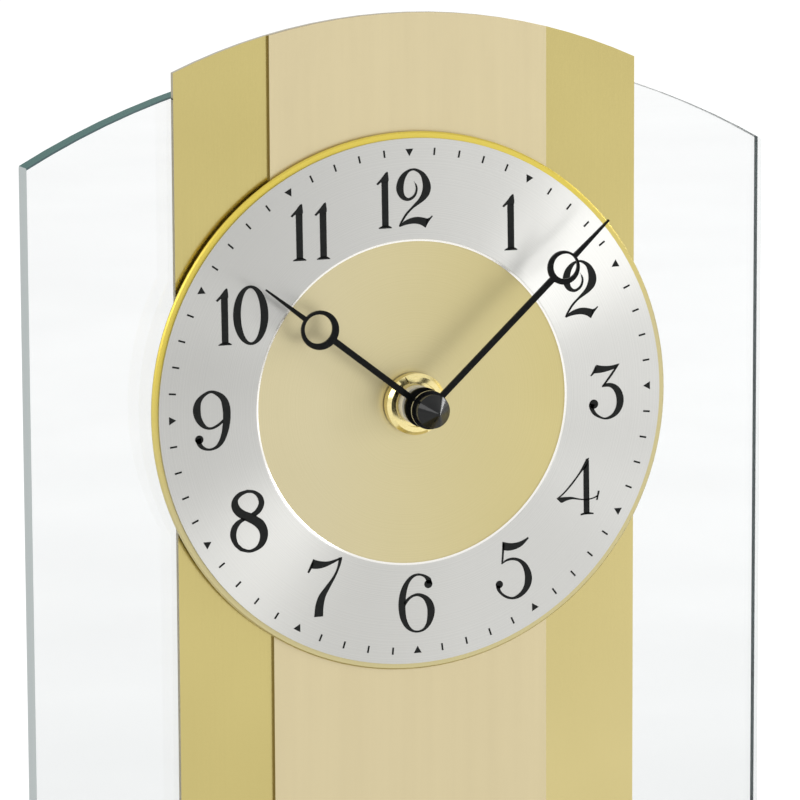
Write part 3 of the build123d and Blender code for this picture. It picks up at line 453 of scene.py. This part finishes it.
# %% [markdown]
# ## The silver hour ring
# The ring with the numerals is silver, brushed in circles, with painted shade that makes it a
# little darker to the left. Such brushing spreads a highlight across the lines, which gives the
# bright fans that turn as one walks past. Painting the fans would freeze them. Here the surface is
# told which way it spreads the light, outwards from the axis, and the lamps make the fans. The
# narrow bevel round its inside is polished, and its colour is painted lighter as a painted
# highlight; it is picked out by its radius.

# %% Finish of the hour ring
bevel_full, bevel_end = 33.8 * MM, 34.0 * MM
ring_tones = (0.25, 0.75)

silver, silver_surface = new_finish("dial_silver", {"Metallic": 1.0, "Anisotropic": 0.95})
silver_flat, silver_radius = from_axis(silver)
silver_rings = ring_noise(silver, silver_radius, 7000.0, detail=4.0)
silver_outward = put(silver, "VectorMath", wires={0: silver_flat}, operation="NORMALIZE").outputs[0]
# Painted shade: the left copy of the tones is darker, the right copy lighter.
silver_shaded_left = tones(silver, silver_rings, (0.512, 0.510, 0.490), (0.593, 0.592, 0.569), ring_tones)
silver_lit_right = tones(silver, silver_rings, (0.638, 0.636, 0.612), (0.740, 0.738, 0.710), ring_tones)
silver_painted_across = share(silver, part_of(silver, silver_flat, "X"), -0.045, 0.010)
silver_brushed_and_shaded = blend(silver, silver_painted_across, silver_shaded_left, silver_lit_right)
# Painted highlight: the polished bevel gets a near-white colour, along with its lower roughness.
silver_bevel_highlight = tones(silver, silver_rings, (0.90, 0.885, 0.845), (0.94, 0.925, 0.885), ring_tones)
silver_bevel = span(silver, silver_radius, 1.0, 0.0, (bevel_full, bevel_end))
feed(silver, silver_surface,
     colour=blend(silver, silver_bevel, silver_brushed_and_shaded, silver_bevel_highlight),
     rough=span(silver, silver_bevel, 0.42, 0.20),
     normal=relief(silver, silver_rings, 0.006 * MM, 0.3),
     tangent=silver_outward)
dress(slot_nodes["dial_silver"], silver)

# %% [markdown]
# ## Edges of the float glass
# The broad plate is clear glass, six millimetres thick, with ground edges. On the left they
# scatter the light, on the right the end is polished clear, and a dark line of painted shade runs
# along its back half.
# The edges could be pieces of their own, but real glass is one block. So the way each face
# points, and where it lies, tells which part of the plate it is.

# %% Find the parts of the glass
glass, glass_surface = new_finish("float_glass", {"IOR": 1.5})
glass_place = place_on_object(glass)
glass_right = share(glass, part_of(glass, glass_place, "X"), 0.020, 0.040)
glass_behind = share(glass, part_of(glass, glass_place, "Y"), 0.0001, 0.0003)
glass_flat = share(glass, facing(glass, "Y"), 0.93, 0.97)
glass_bevel = share(glass, facing(glass, "Y"), 0.25, 0.45)
glass_arch = share(glass, facing(glass, "Z"), 0.3, 0.5)
glass_end = share(glass, facing(glass, "X"), 0.85, 0.95)

glass_line = combine(glass, "MULTIPLY", glass_end, glass_behind)
glass_cut = combine(glass, "MAXIMUM", glass_arch, glass_bevel)
glass_kept = combine(glass, "MAXIMUM", glass_line, glass_cut)
glass_through = combine(glass, "MULTIPLY", glass_right, span(glass, glass_kept, 1.0, 0.0))
glass_clear = combine(glass, "MAXIMUM", glass_flat, glass_through)
# Painted shade: the back half of the right end is coloured dark, as a dark line.
glass_shaded = combine(glass, "MULTIPLY", glass_line, glass_right)
glass_dark = combine(glass, "MAXIMUM", glass_bevel, glass_shaded)
print("nodes that tell the parts of the glass apart:", len(glass.node_tree.nodes))

# %% [markdown]
# ## Tones of the float glass
# The faces are nearly colourless, with painted shade that makes them a little greyer towards the
# foot. The ground left end is pale and the arch teal, where one looks down the whole height of the
# plate, and the bevels are darkest. On the right, arch and bevels are painted pale, a painted
# light. Thick green glass could be made by absorption inside the plate, but at six millimetres the
# colour is all in the edges.

# %% Finish of the glass
glass_speck = noise(glass, 60.0, detail=2.0)
# Painted shade: the pane's colour grows greyer towards the foot.
glass_shade_height = share(glass, part_of(glass, glass_place, "Z"), 0.10, 0.26)
glass_pane_shaded = tones(glass, glass_shade_height, (0.765, 0.780, 0.780), (0.885, 0.895, 0.895), full_range)
glass_teal = tones(glass, facing(glass, "Z"), (0.48, 0.525, 0.52), (0.022, 0.098, 0.086),
                   (0.25, 0.55))
glass_frost = tones(glass, glass_speck, (0.46, 0.56, 0.54), (0.50, 0.60, 0.58))
# On the right the arch takes the pale frosted tone, a painted light, in place of teal.
glass_ground_and_lit = blend(glass, glass_right, glass_teal, glass_frost)
# Dark teal for the left bevels and for the painted shade of the line on the right end.
glass_dim = tones(glass, glass_speck, (0.040, 0.082, 0.086), (0.060, 0.108, 0.112))
# Painted light: near white for the bevels on the right.
glass_painted_light = tones(glass, glass_speck, (0.92, 0.93, 0.93), (0.95, 0.96, 0.96))
glass_lit_bevels = combine(glass, "MULTIPLY", glass_bevel, glass_right)
glass_rim = blend(glass, glass_dark, glass_ground_and_lit, blend(glass, glass_lit_bevels, glass_dim, glass_painted_light))
feed(glass, glass_surface,
     colour=blend(glass, glass_clear, glass_rim, glass_pane_shaded),
     rough=span(glass, glass_clear, 0.65, 0.0),
     clear=glass_clear)
dress(slot_nodes["glass"], glass)

# %% [markdown]
# ## Black hands and dark mouldings
# The hands are pressed metal under satin black lacquer, with the very slight waviness of sprayed
# paint, and their cap is glossier. The movement's case is black moulded plastic with a fine
# grain, and the glass sits in rubber. Each could have a tree of its own, but they differ only in
# tones, gloss and grain, so one recipe with other numbers serves them all.

# %% Finishes in black
def grained(name, dark, light, gloss, fineness, depth, detail=3.0, strength=0.4, settings=None):
    """A finish whose tone, gloss and relief follow one noise: from dark to light, from the first
    roughness to the second, and a bump of that depth in metres."""
    made, surface = new_finish(name, settings)
    grain = noise(made, fineness, detail)
    feed(made, surface,
         colour=tones(made, grain, dark, light),
         rough=span(made, grain, *gloss, usual_noise),
         normal=relief(made, grain, depth, strength))
    return made


def black_lacquer(name, gloss, shine):
    """Black paint with a slight wave; shine is how strongly it mirrors."""
    return grained(name, (0.0040, 0.0045, 0.0045), (0.0070, 0.0075, 0.0075), gloss, 900, 0.01 * MM,
                   detail=2.0, strength=0.3, settings={"Specular IOR Level": shine})


dress(slot_nodes["black_hands"], black_lacquer("black_hands", (0.20, 0.30), 0.08))
dress(["hand_cap"], black_lacquer("black_cap", (0.10, 0.16), 0.28))
dress(slot_nodes["black_plastic"],
      grained("black_moulding", (0.016, 0.016, 0.017), (0.030, 0.030, 0.031), (0.45, 0.62),
              2200, 0.04 * MM, strength=0.5))
dress(slot_nodes["rubber"],
      grained("seal_rubber", (0.018, 0.018, 0.018), (0.040, 0.040, 0.040), (0.6, 0.8),
              700, 0.03 * MM, detail=4.0, strength=0.5))

# %% [markdown]
# ## The metal base
# The foot is a solid bar of brass-coloured metal, satin brushed along its length and lacquered. A
# plain roughness would look cast. It is the same idea as the strip with the lines turned to run
# from left to right, and longer, because a base is finished with a belt.

# %% Finish of the base
foot, foot_surface = new_finish("base_metal", metal)
foot_lines = noise(foot, (24, 3400, 3400), detail=4.0, roughness=0.6)
foot_shade = mixed_noise(foot, foot_lines, noise(foot, 18.0, detail=2.0))
feed(foot, foot_surface,
     colour=tones(foot, foot_shade, (0.520, 0.430, 0.185), (0.640, 0.545, 0.250), full_range),
     rough=span(foot, foot_lines, 0.28, 0.42, usual_noise),
     normal=relief(foot, foot_lines, 0.01 * MM, 0.5))
dress(slot_nodes["base_metal"], foot)

# %% [markdown]
# ## Small metals of the movement
# Steel pins and plates, nickel contacts, sintered magnets and copper coils are bought-in parts
# with plain finishes, and the nut, the bob and its rod are turned brass. The recipe of the black
# finishes serves here too, as metal and with its noise stretched along the way each was worked.

# %% Finishes of the small metals
turned_nodes = ["fixing_nut", "nut_washer", "pendulum_bob", "pendulum_rod", "rating_nut"]
dress(slot_nodes["steel"],
      grained("plain_steel", (0.50, 0.50, 0.49), (0.64, 0.64, 0.62), (0.22, 0.36),
              900, 0.01 * MM, settings=metal))
dress(slot_nodes["nickel"],
      grained("spring_nickel", (0.58, 0.55, 0.49), (0.70, 0.67, 0.60), (0.12, 0.22),
              (400, 1500, 400), 0.006 * MM, settings=metal))
dress(slot_nodes["magnet"],
      grained("sintered_magnet", (0.09, 0.09, 0.10), (0.17, 0.17, 0.18), (0.42, 0.6),
              2500, 0.03 * MM, settings=metal))
dress(slot_nodes["copper"],
      grained("coil_copper", (0.40, 0.13, 0.045), (0.66, 0.27, 0.11), (0.2, 0.34),
              (60, 7000, 7000), 0.04 * MM, settings=metal))
dress(turned_nodes,
      grained("turned_brass", (0.78, 0.66, 0.30), (0.86, 0.74, 0.36), (0.13, 0.20),
              (2600, 900, 2600), 0.003 * MM, settings=metal))

# %% [markdown]
# ## The washer under the cap
# The washer between hand and cap is steel, blackened on its flat faces and bare on its edge,
# where it shows as a thin bright line. It could be two rings, but it is one piece, so the way its
# faces point tells black from bare.

# %% Finish of the washer
washer, washer_surface = new_finish("blackened_washer", metal)
washer_grain = noise(washer, 900)
washer_face = share(washer, facing(washer, "Y"), 0.5, 0.8)
washer_bare = tones(washer, washer_grain, (0.50, 0.50, 0.49), (0.64, 0.64, 0.62))
washer_black = tones(washer, washer_grain, (0.010, 0.010, 0.011), (0.018, 0.018, 0.019))
feed(washer, washer_surface,
     colour=blend(washer, washer_face, washer_bare, washer_black),
     rough=span(washer, washer_grain, 0.24, 0.34, usual_noise))
dress(["cap_washer"], washer)

# %% [markdown]
# ## Ivory gears, tape and board
# Inside sit ivory gears and a green board, and tape holds the plates together. They show through
# gaps at most, so a flat colour might do, but the one recipe costs no more. Ivory plastic also
# lets a little light in, which softens its edges.

# %% Finishes of the inner pieces
ivory_softness = {"Subsurface Weight": 0.15, "Subsurface Radius": (1.0 * MM, 0.8 * MM, 0.5 * MM)}
dress(slot_nodes["ivory_plastic"],
      grained("ivory_plastic", (0.70, 0.66, 0.55), (0.78, 0.74, 0.64), (0.25, 0.36),
              1200, 0.01 * MM, settings=ivory_softness))
dress(slot_nodes["acrylic_tape"],
      grained("mounting_tape", (0.022, 0.022, 0.022), (0.036, 0.036, 0.036), (0.55, 0.7),
              1500, 0.03 * MM))
dress(slot_nodes["board"],
      grained("circuit_board", (0.010, 0.075, 0.030), (0.020, 0.120, 0.050), (0.3, 0.45),
              900, 0.02 * MM))

# %% [markdown]
# ## The cell
# The cell is a steel can in a plain dark sleeve that leaves both ends bare. Sleeve and can could
# be two solids, but the sleeve is thinner than a hair. So the distance from the cell's middle,
# along its own axis, tells the sleeve from the bare steel.

# %% Finish of the cell
bare_end, sleeve_edge = 2.0 * MM, 0.2 * MM
bare_steel = (0.58, 0.57, 0.55, 1.0)

cell, cell_surface = new_finish("battery_sleeve")
cell_low, cell_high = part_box("battery")
cell_middle, cell_half = (cell_low + cell_high) / 2, (cell_high.x - cell_low.x) / 2
cell_along = part_of(cell, place_on_object(cell, centre=tuple(cell_middle)), "X")
cell_reach = put(cell, "Math", wires={0: cell_along}, operation="ABSOLUTE").outputs[0]
cell_bare = share(cell, cell_reach, cell_half - bare_end - sleeve_edge, cell_half - bare_end)
cell_grain = noise(cell, 300)
cell_sleeve = tones(cell, cell_grain, (0.020, 0.024, 0.032), (0.034, 0.040, 0.050))
cell_colour = put(cell, "MixRGB", {"Color2": bare_steel}, {"Fac": cell_bare, "Color1": cell_sleeve})
feed(cell, cell_surface,
     colour=cell_colour.outputs[0],
     rough=span(cell, cell_grain, 0.25, 0.38, usual_noise),
     metal=cell_bare)
dress(slot_nodes["battery_wrap"], cell)

# %% [markdown]
# ## Drawing the numerals
# The numerals are printed in black, in an upright book style with thick and thin strokes and ball
# ends. A font would need a file from outside. So each stroke is drawn as a ribbon between two
# edges, as with a broad pen: a short list of stations gives where the left and the right edge
# are. Numbers are hundredths of a millimetre from the foot of the numeral's middle.

# %% Pen strokes of the numerals
numeral_strokes = {
    "1": [
        [(-70, 957, 76, 957), (-70, 37, 72, 37)],
        [(-180, 924, -146, 898), (-70, 1037, -67, 954), (24, 1146, 74, 955), (63, 1167, 77, 1137)],
        [(-146, 2, -143, 20), (-70, 0, -72, 54), (72, 0, 76, 54), (137, -2, 137, 20)],
    ],
    "2": [
        [(-11, 930, 9, 933), (50, 878, 22, 870), (78, 783, 35, 783), (46, 652, 0, 678),
         (-33, 572, -65, 620), (-137, 539, -130, 602), (-283, 591, -202, 657),
         (-385, 772, -228, 809), (-337, 1000, -185, 1011), (-196, 1148, -93, 1135),
         (0, 1204, 0, 1157), (196, 1126, 130, 1070), (322, 967, 180, 924), (365, 793, 185, 783),
         (326, 648, 141, 641), (224, 539, 76, 548), (115, 467, 15, 489), (-33, 374, -65, 409),
         (-152, 261, -189, 291), (-261, 113, -298, 130), (-330, 26, -343, 39)],
        [(-343, 37, -324, 13), (-239, 120, -239, 39), (-98, 180, -98, 63), (54, 202, 33, 61),
         (196, 178, 146, 26), (298, 148, 235, -35)],
        [(261, 152, 235, -35), (324, 170, 298, 74), (380, 213, 398, 196)],
    ],
    "3": [
        [(-207, 1152, -267, 972), (-76, 1122, -98, 978), (98, 1113, 76, 1009),
         (304, 1146, 220, 1048)],
        [(-228, 1141, -207, 1065), (-280, 1033, -261, 972), (-346, 930, -328, 913)],
        [(207, 1065, 311, 1139), (76, 900, 141, 904), (-85, 700, -15, 722)],
        [(-89, 704, -89, 670), (-22, 739, -22, 674), (98, 750, 76, 665), (239, 696, 152, 613),
         (341, 587, 213, 509), (396, 402, 235, 391), (363, 217, 224, 250), (261, 76, 152, 113),
         (120, 0, 59, 48), (-15, -17, -33, 26), (-167, 28, -130, 65), (-304, 120, -233, 157),
         (-380, 272, -276, 272), (-376, 348, -239, 315)],
    ],
    "4": [
        [(-61, 989, 65, 1163), (-65, 641, 65, 641), (-65, 24, 65, 24)],
        [(4, 1189, 70, 1207), (-65, 1065, 0, 1011), (-152, 920, -87, 935), (-348, 685, -283, 702),
         (-522, 507, -478, 502), (-670, 396, -587, 415)],
        [(-670, 393, -574, 298), (-576, 415, -533, 304), (-457, 415, -446, 337),
         (-326, 407, -315, 354), (-196, 370, -196, 337), (-43, 341, -43, 315), (87, 346, 87, 320),
         (185, 372, 185, 343), (257, 413, 261, 370)],
        [(257, 493, 300, 493), (243, 424, 283, 420), (230, 359, 265, 359), (213, 298, 257, 298)],
        [(-135, -4, -135, 33), (-61, 7, -65, 50), (65, 7, 70, 50), (157, 2, 157, 33)],
    ],
    "5": [
        [(-243, 1211, -230, 1030), (-65, 1170, -87, 1013), (109, 1178, 65, 1037),
         (239, 1222, 200, 1100), (326, 1270, 348, 1243)],
        [(-243, 1211, -196, 1152), (-257, 957, -213, 957), (-274, 739, -230, 772)],
        [(-274, 743, -257, 735), (-178, 826, -170, 783), (-39, 861, -43, 804), (109, 835, 83, 774),
         (250, 748, 174, 691), (352, 609, 230, 561), (407, 413, 248, 396), (374, 239, 222, 239),
         (272, 96, 152, 126), (130, 0, 54, 52), (-11, -28, -33, 24), (-157, 2, -130, 48),
         (-298, 96, -250, 126), (-383, 213, -304, 213), (-400, 304, -300, 283)],
    ],
    "6": [
        [(352, 978, 228, 991), (320, 1093, 213, 1061), (250, 1152, 196, 1100),
         (141, 1200, 120, 1157), (22, 1220, 22, 1170), (-120, 1180, -65, 1133),
         (-261, 1043, -150, 1035), (-352, 865, -207, 883), (-396, 648, -239, 680),
         (-391, 430, -246, 463), (-348, 257, -224, 283), (-250, 93, -163, 130), (-120, 0, -76, 39),
         (22, -28, 15, 15), (163, 4, 120, 43), (293, 113, 196, 137), (376, 278, 228, 274),
         (398, 430, 233, 448), (359, 583, 207, 557), (272, 700, 152, 665), (141, 778, 76, 722),
         (11, 804, 7, 743), (-120, 767, -109, 713), (-233, 691, -211, 613), (-283, 626, -250, 550)],
    ],
    "7": [
        [(-261, 1213, -317, 1020), (-130, 1163, -174, 1002), (43, 1139, -22, 1020),
         (196, 1163, 130, 1074), (357, 1209, 300, 1148)],
        [(-265, 1204, -252, 1130), (-335, 1061, -296, 1020), (-391, 948, -357, 926)],
        [(296, 1200, 370, 1200), (278, 1087, 348, 1098), (235, 946, 287, 939), (152, 804, 217, 800),
         (-17, 604, 91, 587), (-157, 430, -9, 402), (-230, 239, -57, 196), (-265, -4, -70, -4)],
    ],
    "8": [
        [(-17, 1291, -24, 1222), (-207, 1239, -141, 1170), (-328, 1124, -215, 1096),
         (-367, 1000, -220, 1026), (-341, 878, -172, 930), (-267, 774, -72, 852),
         (-163, 696, 48, 798), (-28, 624, 178, 722), (124, 526, 309, 624), (211, 417, 380, 500),
         (233, 309, 407, 363), (202, 178, 374, 200), (135, 91, 265, 65), (-2, 43, 20, -20),
         (-137, 87, -191, 26)],
        [(-191, 26, -137, 87), (-326, 157, -235, 189), (-404, 352, -274, 352),
         (-372, 526, -246, 493), (-272, 646, -159, 609), (-137, 715, -50, 665)],
        [(48, 791, 150, 722), (150, 861, 276, 826), (220, 1000, 341, 993), (178, 1135, 293, 1146),
         (85, 1209, 150, 1257), (-24, 1222, -17, 1291)],
    ],
    "9": [
        [(-365, 228, -239, 261), (-315, 104, -228, 148), (-228, 22, -174, 74), (-61, -17, -65, 30),
         (109, 20, 65, 74), (228, 117, 141, 174), (317, 283, 196, 326), (376, 478, 224, 496),
         (400, 674, 239, 674), (391, 870, 228, 848), (337, 1022, 196, 1000), (217, 1148, 113, 1098),
         (-11, 1220, -11, 1163), (-200, 1148, -141, 1098), (-337, 1022, -217, 989),
         (-398, 848, -235, 826), (-370, 674, -217, 674), (-283, 530, -157, 548),
         (-174, 446, -98, 483), (-22, 415, -22, 465), (130, 465, 109, 517), (239, 543, 239, 613)],
    ],
    "0": [],
}
ball_ends = {"3": (-276, 326, 98), "5": (-322, 313, 80), "6": (265, 978, 89), "9": (-278, 226, 89)}
zero_middle, zero_outer, zero_inner = (0, 586), (376, 611), (211, 552)
stroke_count = sum(len(strokes) for strokes in numeral_strokes.values())
print("numerals drawn:", len(numeral_strokes), "strokes:", stroke_count)

# %% [markdown]
# ## Edges of the strokes
# A pen leaves smooth edges, so the few stations of a stroke are joined by curves. Straight joins
# would need many more stations. A ball end is a ribbon too, between an upper and a lower half
# circle, and the figure 0 is a closed one between two ellipses.

# %% Smooth the edges
steps_between = 6
ball_blunt, ball_stations = 0.08, 17
zero_stations = 64


def smooth_edge(points):
    """A curve through the points: cubic pieces whose slope at each point is that of its neighbours,
    spaced by the root of their distance."""
    p = np.asarray(points, float)
    gaps = np.sqrt(np.linalg.norm(np.diff(p, axis=0), axis=1))
    t = np.concatenate([[0.0], np.cumsum(gaps)])
    slope = np.gradient(p, t, axis=0)
    u = np.linspace(0.0, t[-1], steps_between * (len(p) - 1) + 1)
    k = np.clip(np.searchsorted(t, u, side="right") - 1, 0, len(t) - 2)
    h = (t[k + 1] - t[k])[:, None]
    s = ((u - t[k]) / (t[k + 1] - t[k]))[:, None]
    return (p[k] * (2 * s**3 - 3 * s**2 + 1) + p[k + 1] * (3 * s**2 - 2 * s**3)
            + slope[k] * h * (s**3 - 2 * s**2 + s) + slope[k + 1] * h * (s**3 - s**2))


def ball_end(x, z, r):
    """Upper and lower edge of a ball: x - r cos a, z + r sin a and z - r sin a."""
    a = np.linspace(ball_blunt, np.pi - ball_blunt, ball_stations)
    across, up = x - r * np.cos(a), r * np.sin(a)
    return np.stack([across, z + up], -1), np.stack([across, z - up], -1)


def ellipse(middle, size):
    """Points round an ellipse: its middle plus (size x cos a, size z sin a)."""
    a = np.arange(zero_stations) * 2 * np.pi / zero_stations
    return np.asarray(middle) + np.asarray(size) * np.stack([np.cos(a), np.sin(a)], -1)


def numeral_edges(figure):
    """For each ribbon of a figure: left edge, right edge, in millimetres, and whether it closes."""
    edges = []
    for stations in numeral_strokes[figure]:
        table = np.array(stations, float) / 100
        edges.append((smooth_edge(table[:, :2]), smooth_edge(table[:, 2:]), False))
    if figure in ball_ends:
        edges.append((*ball_end(*np.array(ball_ends[figure], float) / 100), False))
    if figure == "0":
        outer, inner = (ellipse(zero_middle, size) / 100 for size in (zero_outer, zero_inner))
        edges.append((outer, inner, True))
    return edges


print("ribbons in the figure 8:", len(numeral_edges("8")))

# %% [markdown]
# ## From edges to ink
# A ribbon with two edges is a surface of two parameters: one runs along the stroke, the other
# goes round a flat profile with four corners. That makes each stroke a thin closed slab of ink, a
# hair proud of the ring. A bevelled curve has round sides and one width, which a pen stroke
# hasn't.

# %% Ink slabs
ring_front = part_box("hour_ring")[0].y
ink_proud, ink_sunk = 0.035 * MM, 0.04 * MM
ink_front, ink_back = ring_front - ink_proud, ring_front + ink_sunk


def ink_slab(left, right, closed):
    """Point (i, j): station i along the stroke, corner j of the profile, which is left front, right
    front, right back, left back. The edges change places where the loop would run backwards."""
    left, right = np.asarray(left, float), np.asarray(right, float)
    x, z = np.vstack([left, right[::-1]]).T
    if np.sum(x * np.roll(z, -1) - z * np.roll(x, -1)) < 0:
        left, right = right, left
    n = len(left)
    plane = np.stack([left, right, right, left], axis=1)
    depth = np.broadcast_to([ink_front, ink_front, ink_back, ink_back], (n, 4))
    points = np.stack([plane[..., 0], depth, plane[..., 1]], axis=-1).reshape(-1, 3)
    i, j = np.meshgrid(np.arange(n if closed else n - 1), np.arange(4), indexing="ij")
    here, beyond, following = 4 * i, 4 * ((i + 1) % n), (j + 1) % 4
    sides = np.stack([here + j, beyond + j, beyond + following, here + following], axis=-1)
    ends = np.array([[0, 1, 2, 3], [4 * n - 1, 4 * n - 2, 4 * n - 3, 4 * n - 4]])
    return points, np.vstack([sides.reshape(-1, 4), ends[:0] if closed else ends])


print("ink thickness:", round((ink_back - ink_front) / MM, 3), "mm")

# %% [markdown]
# ## Setting out the dial
# Each numeral stands upright at its hour, a little inside the marks, and the whole print is
# turned by less than a degree against the clock, as it was put on. The minute track has a short
# dash for each minute and a small triangle pointing inwards for each hour. Marks could be copied
# objects, but they are ink like the rest, so each is one more ribbon in the same list.

# %% Set out the print
print_turn = math.radians(0.75)
numeral_places = [
    ("1", -5.46, 36.46), ("2", 0.89, 36.46), ("1", 21.89, 30.35), ("2", 37.11, 15.36),
    ("3", 42.63, -6.37), ("4", 38.00, -26.43), ("5", 21.52, -42.76), ("6", -0.07, -47.98),
    ("7", -19.83, -43.02), ("8", -36.11, -28.24), ("9", -43.48, -6.54), ("1", -40.28, 14.67),
    ("0", -34.72, 14.63), ("1", -24.00, 30.93), ("1", -18.89, 30.93),
]
mark_radius, dash_length, dash_width = 52.0, 1.5, 0.38
arrow_side, arrow_tip, arrow_root, tip_half = 1.7, 0.55, 0.32, 0.02


def on_dial(flat):
    """Millimetres on the dial to metres in the frame, turned about the dial's axis."""
    flat = np.asarray(flat, float)
    x = flat[:, 0] * math.cos(print_turn) - flat[:, 1] * math.sin(print_turn)
    z = flat[:, 0] * math.sin(print_turn) + flat[:, 1] * math.cos(print_turn)
    return np.stack([x * MM + dial_centre[0], z * MM + dial_centre[2]], -1)


def mark_edges(minute):
    """Edges of one mark: a dash of one width, or for an hour a triangle with its tip inwards."""
    turn = math.radians(6 * minute)
    out = np.array([math.sin(turn), math.cos(turn)])
    aside = np.array([math.cos(turn), -math.sin(turn)])
    inner, outer = mark_radius - dash_length / 2, mark_radius + dash_length / 2
    halves = [dash_width / 2, dash_width / 2]
    if minute % 5 == 0:
        inner, outer = mark_radius - arrow_tip * arrow_side, mark_radius + arrow_root * arrow_side
        halves = [tip_half, arrow_side / 2]
    line, width = np.outer([inner, outer], out), np.outer(halves, aside)
    return line - width, line + width, False


ink_edges = [(left + foot, right + foot, closed)
             for figure, *foot in numeral_places for left, right, closed in numeral_edges(figure)]
ink_edges += [mark_edges(minute) for minute in range(60)]
print("ribbons of ink:", len(ink_edges))

# %% [markdown]
# ## Printing the dial
# Dial ink is black, nearly matt and slightly mottled. Each numeral could be an object, but a
# printer lays all the ink in one go, so one mesh holds it. It rides on the clock's body, as the
# ring does.

# %% Print the dial
slabs = [ink_slab(on_dial(left), on_dial(right), closed) for left, right, closed in ink_edges]
slab_starts = np.cumsum([0] + [len(points) for points, faces in slabs[:-1]])
ink_points = np.vstack([points for points, faces in slabs])
ink_faces = np.vstack([faces + start for (points, faces), start in zip(slabs, slab_starts)])

ink, ink_surface = new_finish("dial_ink", {"Specular IOR Level": 0.12})
ink_mottle = noise(ink, 1400)
feed(ink, ink_surface,
     colour=tones(ink, ink_mottle, (0.008, 0.009, 0.0085), (0.014, 0.015, 0.0145)),
     rough=span(ink, ink_mottle, 0.45, 0.62, usual_noise))
dial_print = mesh_object("dial_print", ink_points, ink_faces.tolist(), ink)
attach(dial_print, "clock")
print("ink points:", len(ink_points), "faces:", len(ink_faces))

# %% [markdown]
# ## The felt under the base
# A sheet of dark green felt is glued under the base, so the metal doesn't scratch the desk. Felt
# isn't a hard slab: its edge is cut a little soft and its face is fuzzy. A plate with bevels
# would stay sharp. So it is laid out as rings that run from the middle of the top face to the
# edge, round it, and back to the middle of the underside.

# %% Shape of the felt
felt_low, felt_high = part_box("base_felt")
felt_corner, felt_swell, felt_fuzz = 12.0 * MM, 0.35, 0.05 * MM
fuzz_round, fuzz_across = 37, 5


def rounded_outline(half_x, half_y, corner, turns):
    """Points round a rectangle with round corners: the corner's centre plus its radius along each
    direction."""
    a = (np.arange(turns) + 0.5) * 2 * np.pi / turns
    return np.stack([np.sign(np.cos(a)) * (half_x - corner) + corner * np.cos(a),
                     np.sign(np.sin(a)) * (half_y - corner) + corner * np.sin(a)], -1)


def felt_sheet(low, high, turns=240, rings=10, bends=5):
    """Point (i, j): ring i of the path from middle to edge to middle, place j round the outline. A
    ring is the outline times its scale, the edge swells by a half circle, and the fuzz is a sine."""
    thick, half_x, half_y = high.z - low.z, (high.x - low.x) / 2, (high.y - low.y) / 2
    inset = 1.0 - felt_swell * thick / half_y
    bend = np.linspace(0, np.pi, bends + 2)[1:-1]
    flat = inset * np.linspace(1.0 / rings, 1.0, rings)
    scale = np.concatenate([flat, inset + (1 - inset) * np.sin(bend), flat[::-1]])
    height = np.concatenate([np.full(rings, high.z), low.z + thick * (1 + np.cos(bend)) / 2,
                             np.full(rings, low.z)])
    i, j = np.meshgrid(np.arange(len(scale)), np.arange(turns), indexing="ij")
    waves = fuzz_round * j / turns + fuzz_across * i / len(scale)
    fuzz = felt_fuzz * (1 + np.sin(2 * np.pi * waves))
    z = height[:, None] - np.where(i < rings, fuzz, -fuzz)
    outline = rounded_outline(half_x, half_y, felt_corner, turns)
    grid = np.concatenate([scale[:, None, None] * outline, z[..., None]], axis=-1)
    middles = [[0, 0, high.z - felt_fuzz]], [[0, 0, low.z + felt_fuzz]]
    points = np.vstack([middles[0], grid.reshape(-1, 3), middles[1]])
    return points, ring_faces(len(scale), turns, underside=True)


felt_points, felt_faces = felt_sheet(felt_low, felt_high)
print("felt points:", len(felt_points), "faces:", len(felt_faces))

# %% [markdown]
# ## Fibres of the felt
# Felt is pressed wool: short fibres in many tones, with small tufts standing out and a soft sheen
# where they catch the light. Real hairs would cost far more than they show at this size. Fine
# noise gives the fibres, and cells of a second pattern lift the tufts.

# %% Lay the felt
felt, felt_surface = new_finish("green_felt", {"Sheen Weight": 0.4})
felt_fibre = noise(felt, 2600, detail=5.0, roughness=0.7)
felt_tuft = put(felt, "TexVoronoi", {"Scale": 900.0}, {"Vector": place_on_object(felt)})
felt_height = combine(felt, "ADD", felt_fibre, felt_tuft.outputs["Distance"])
feed(felt, felt_surface,
     colour=tones(felt, felt_fibre, (0.006, 0.020, 0.010), (0.022, 0.058, 0.032)),
     rough=span(felt, felt_fibre, 0.85, 1.0, usual_noise),
     normal=relief(felt, felt_height, 0.2 * MM, 0.6))
felt_piece = mesh_object("felt_sheet", felt_points, felt_faces, felt, smooth=True)
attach(felt_piece, "clock")
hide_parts("base_felt")
print("felt of", *(round(side / MM) for side in (felt_high - felt_low).xy), "mm")

# %% [markdown]
# ## Close
# The last line brings the scene up to date.

# %% Update the scene
bpy.context.view_layer.update()
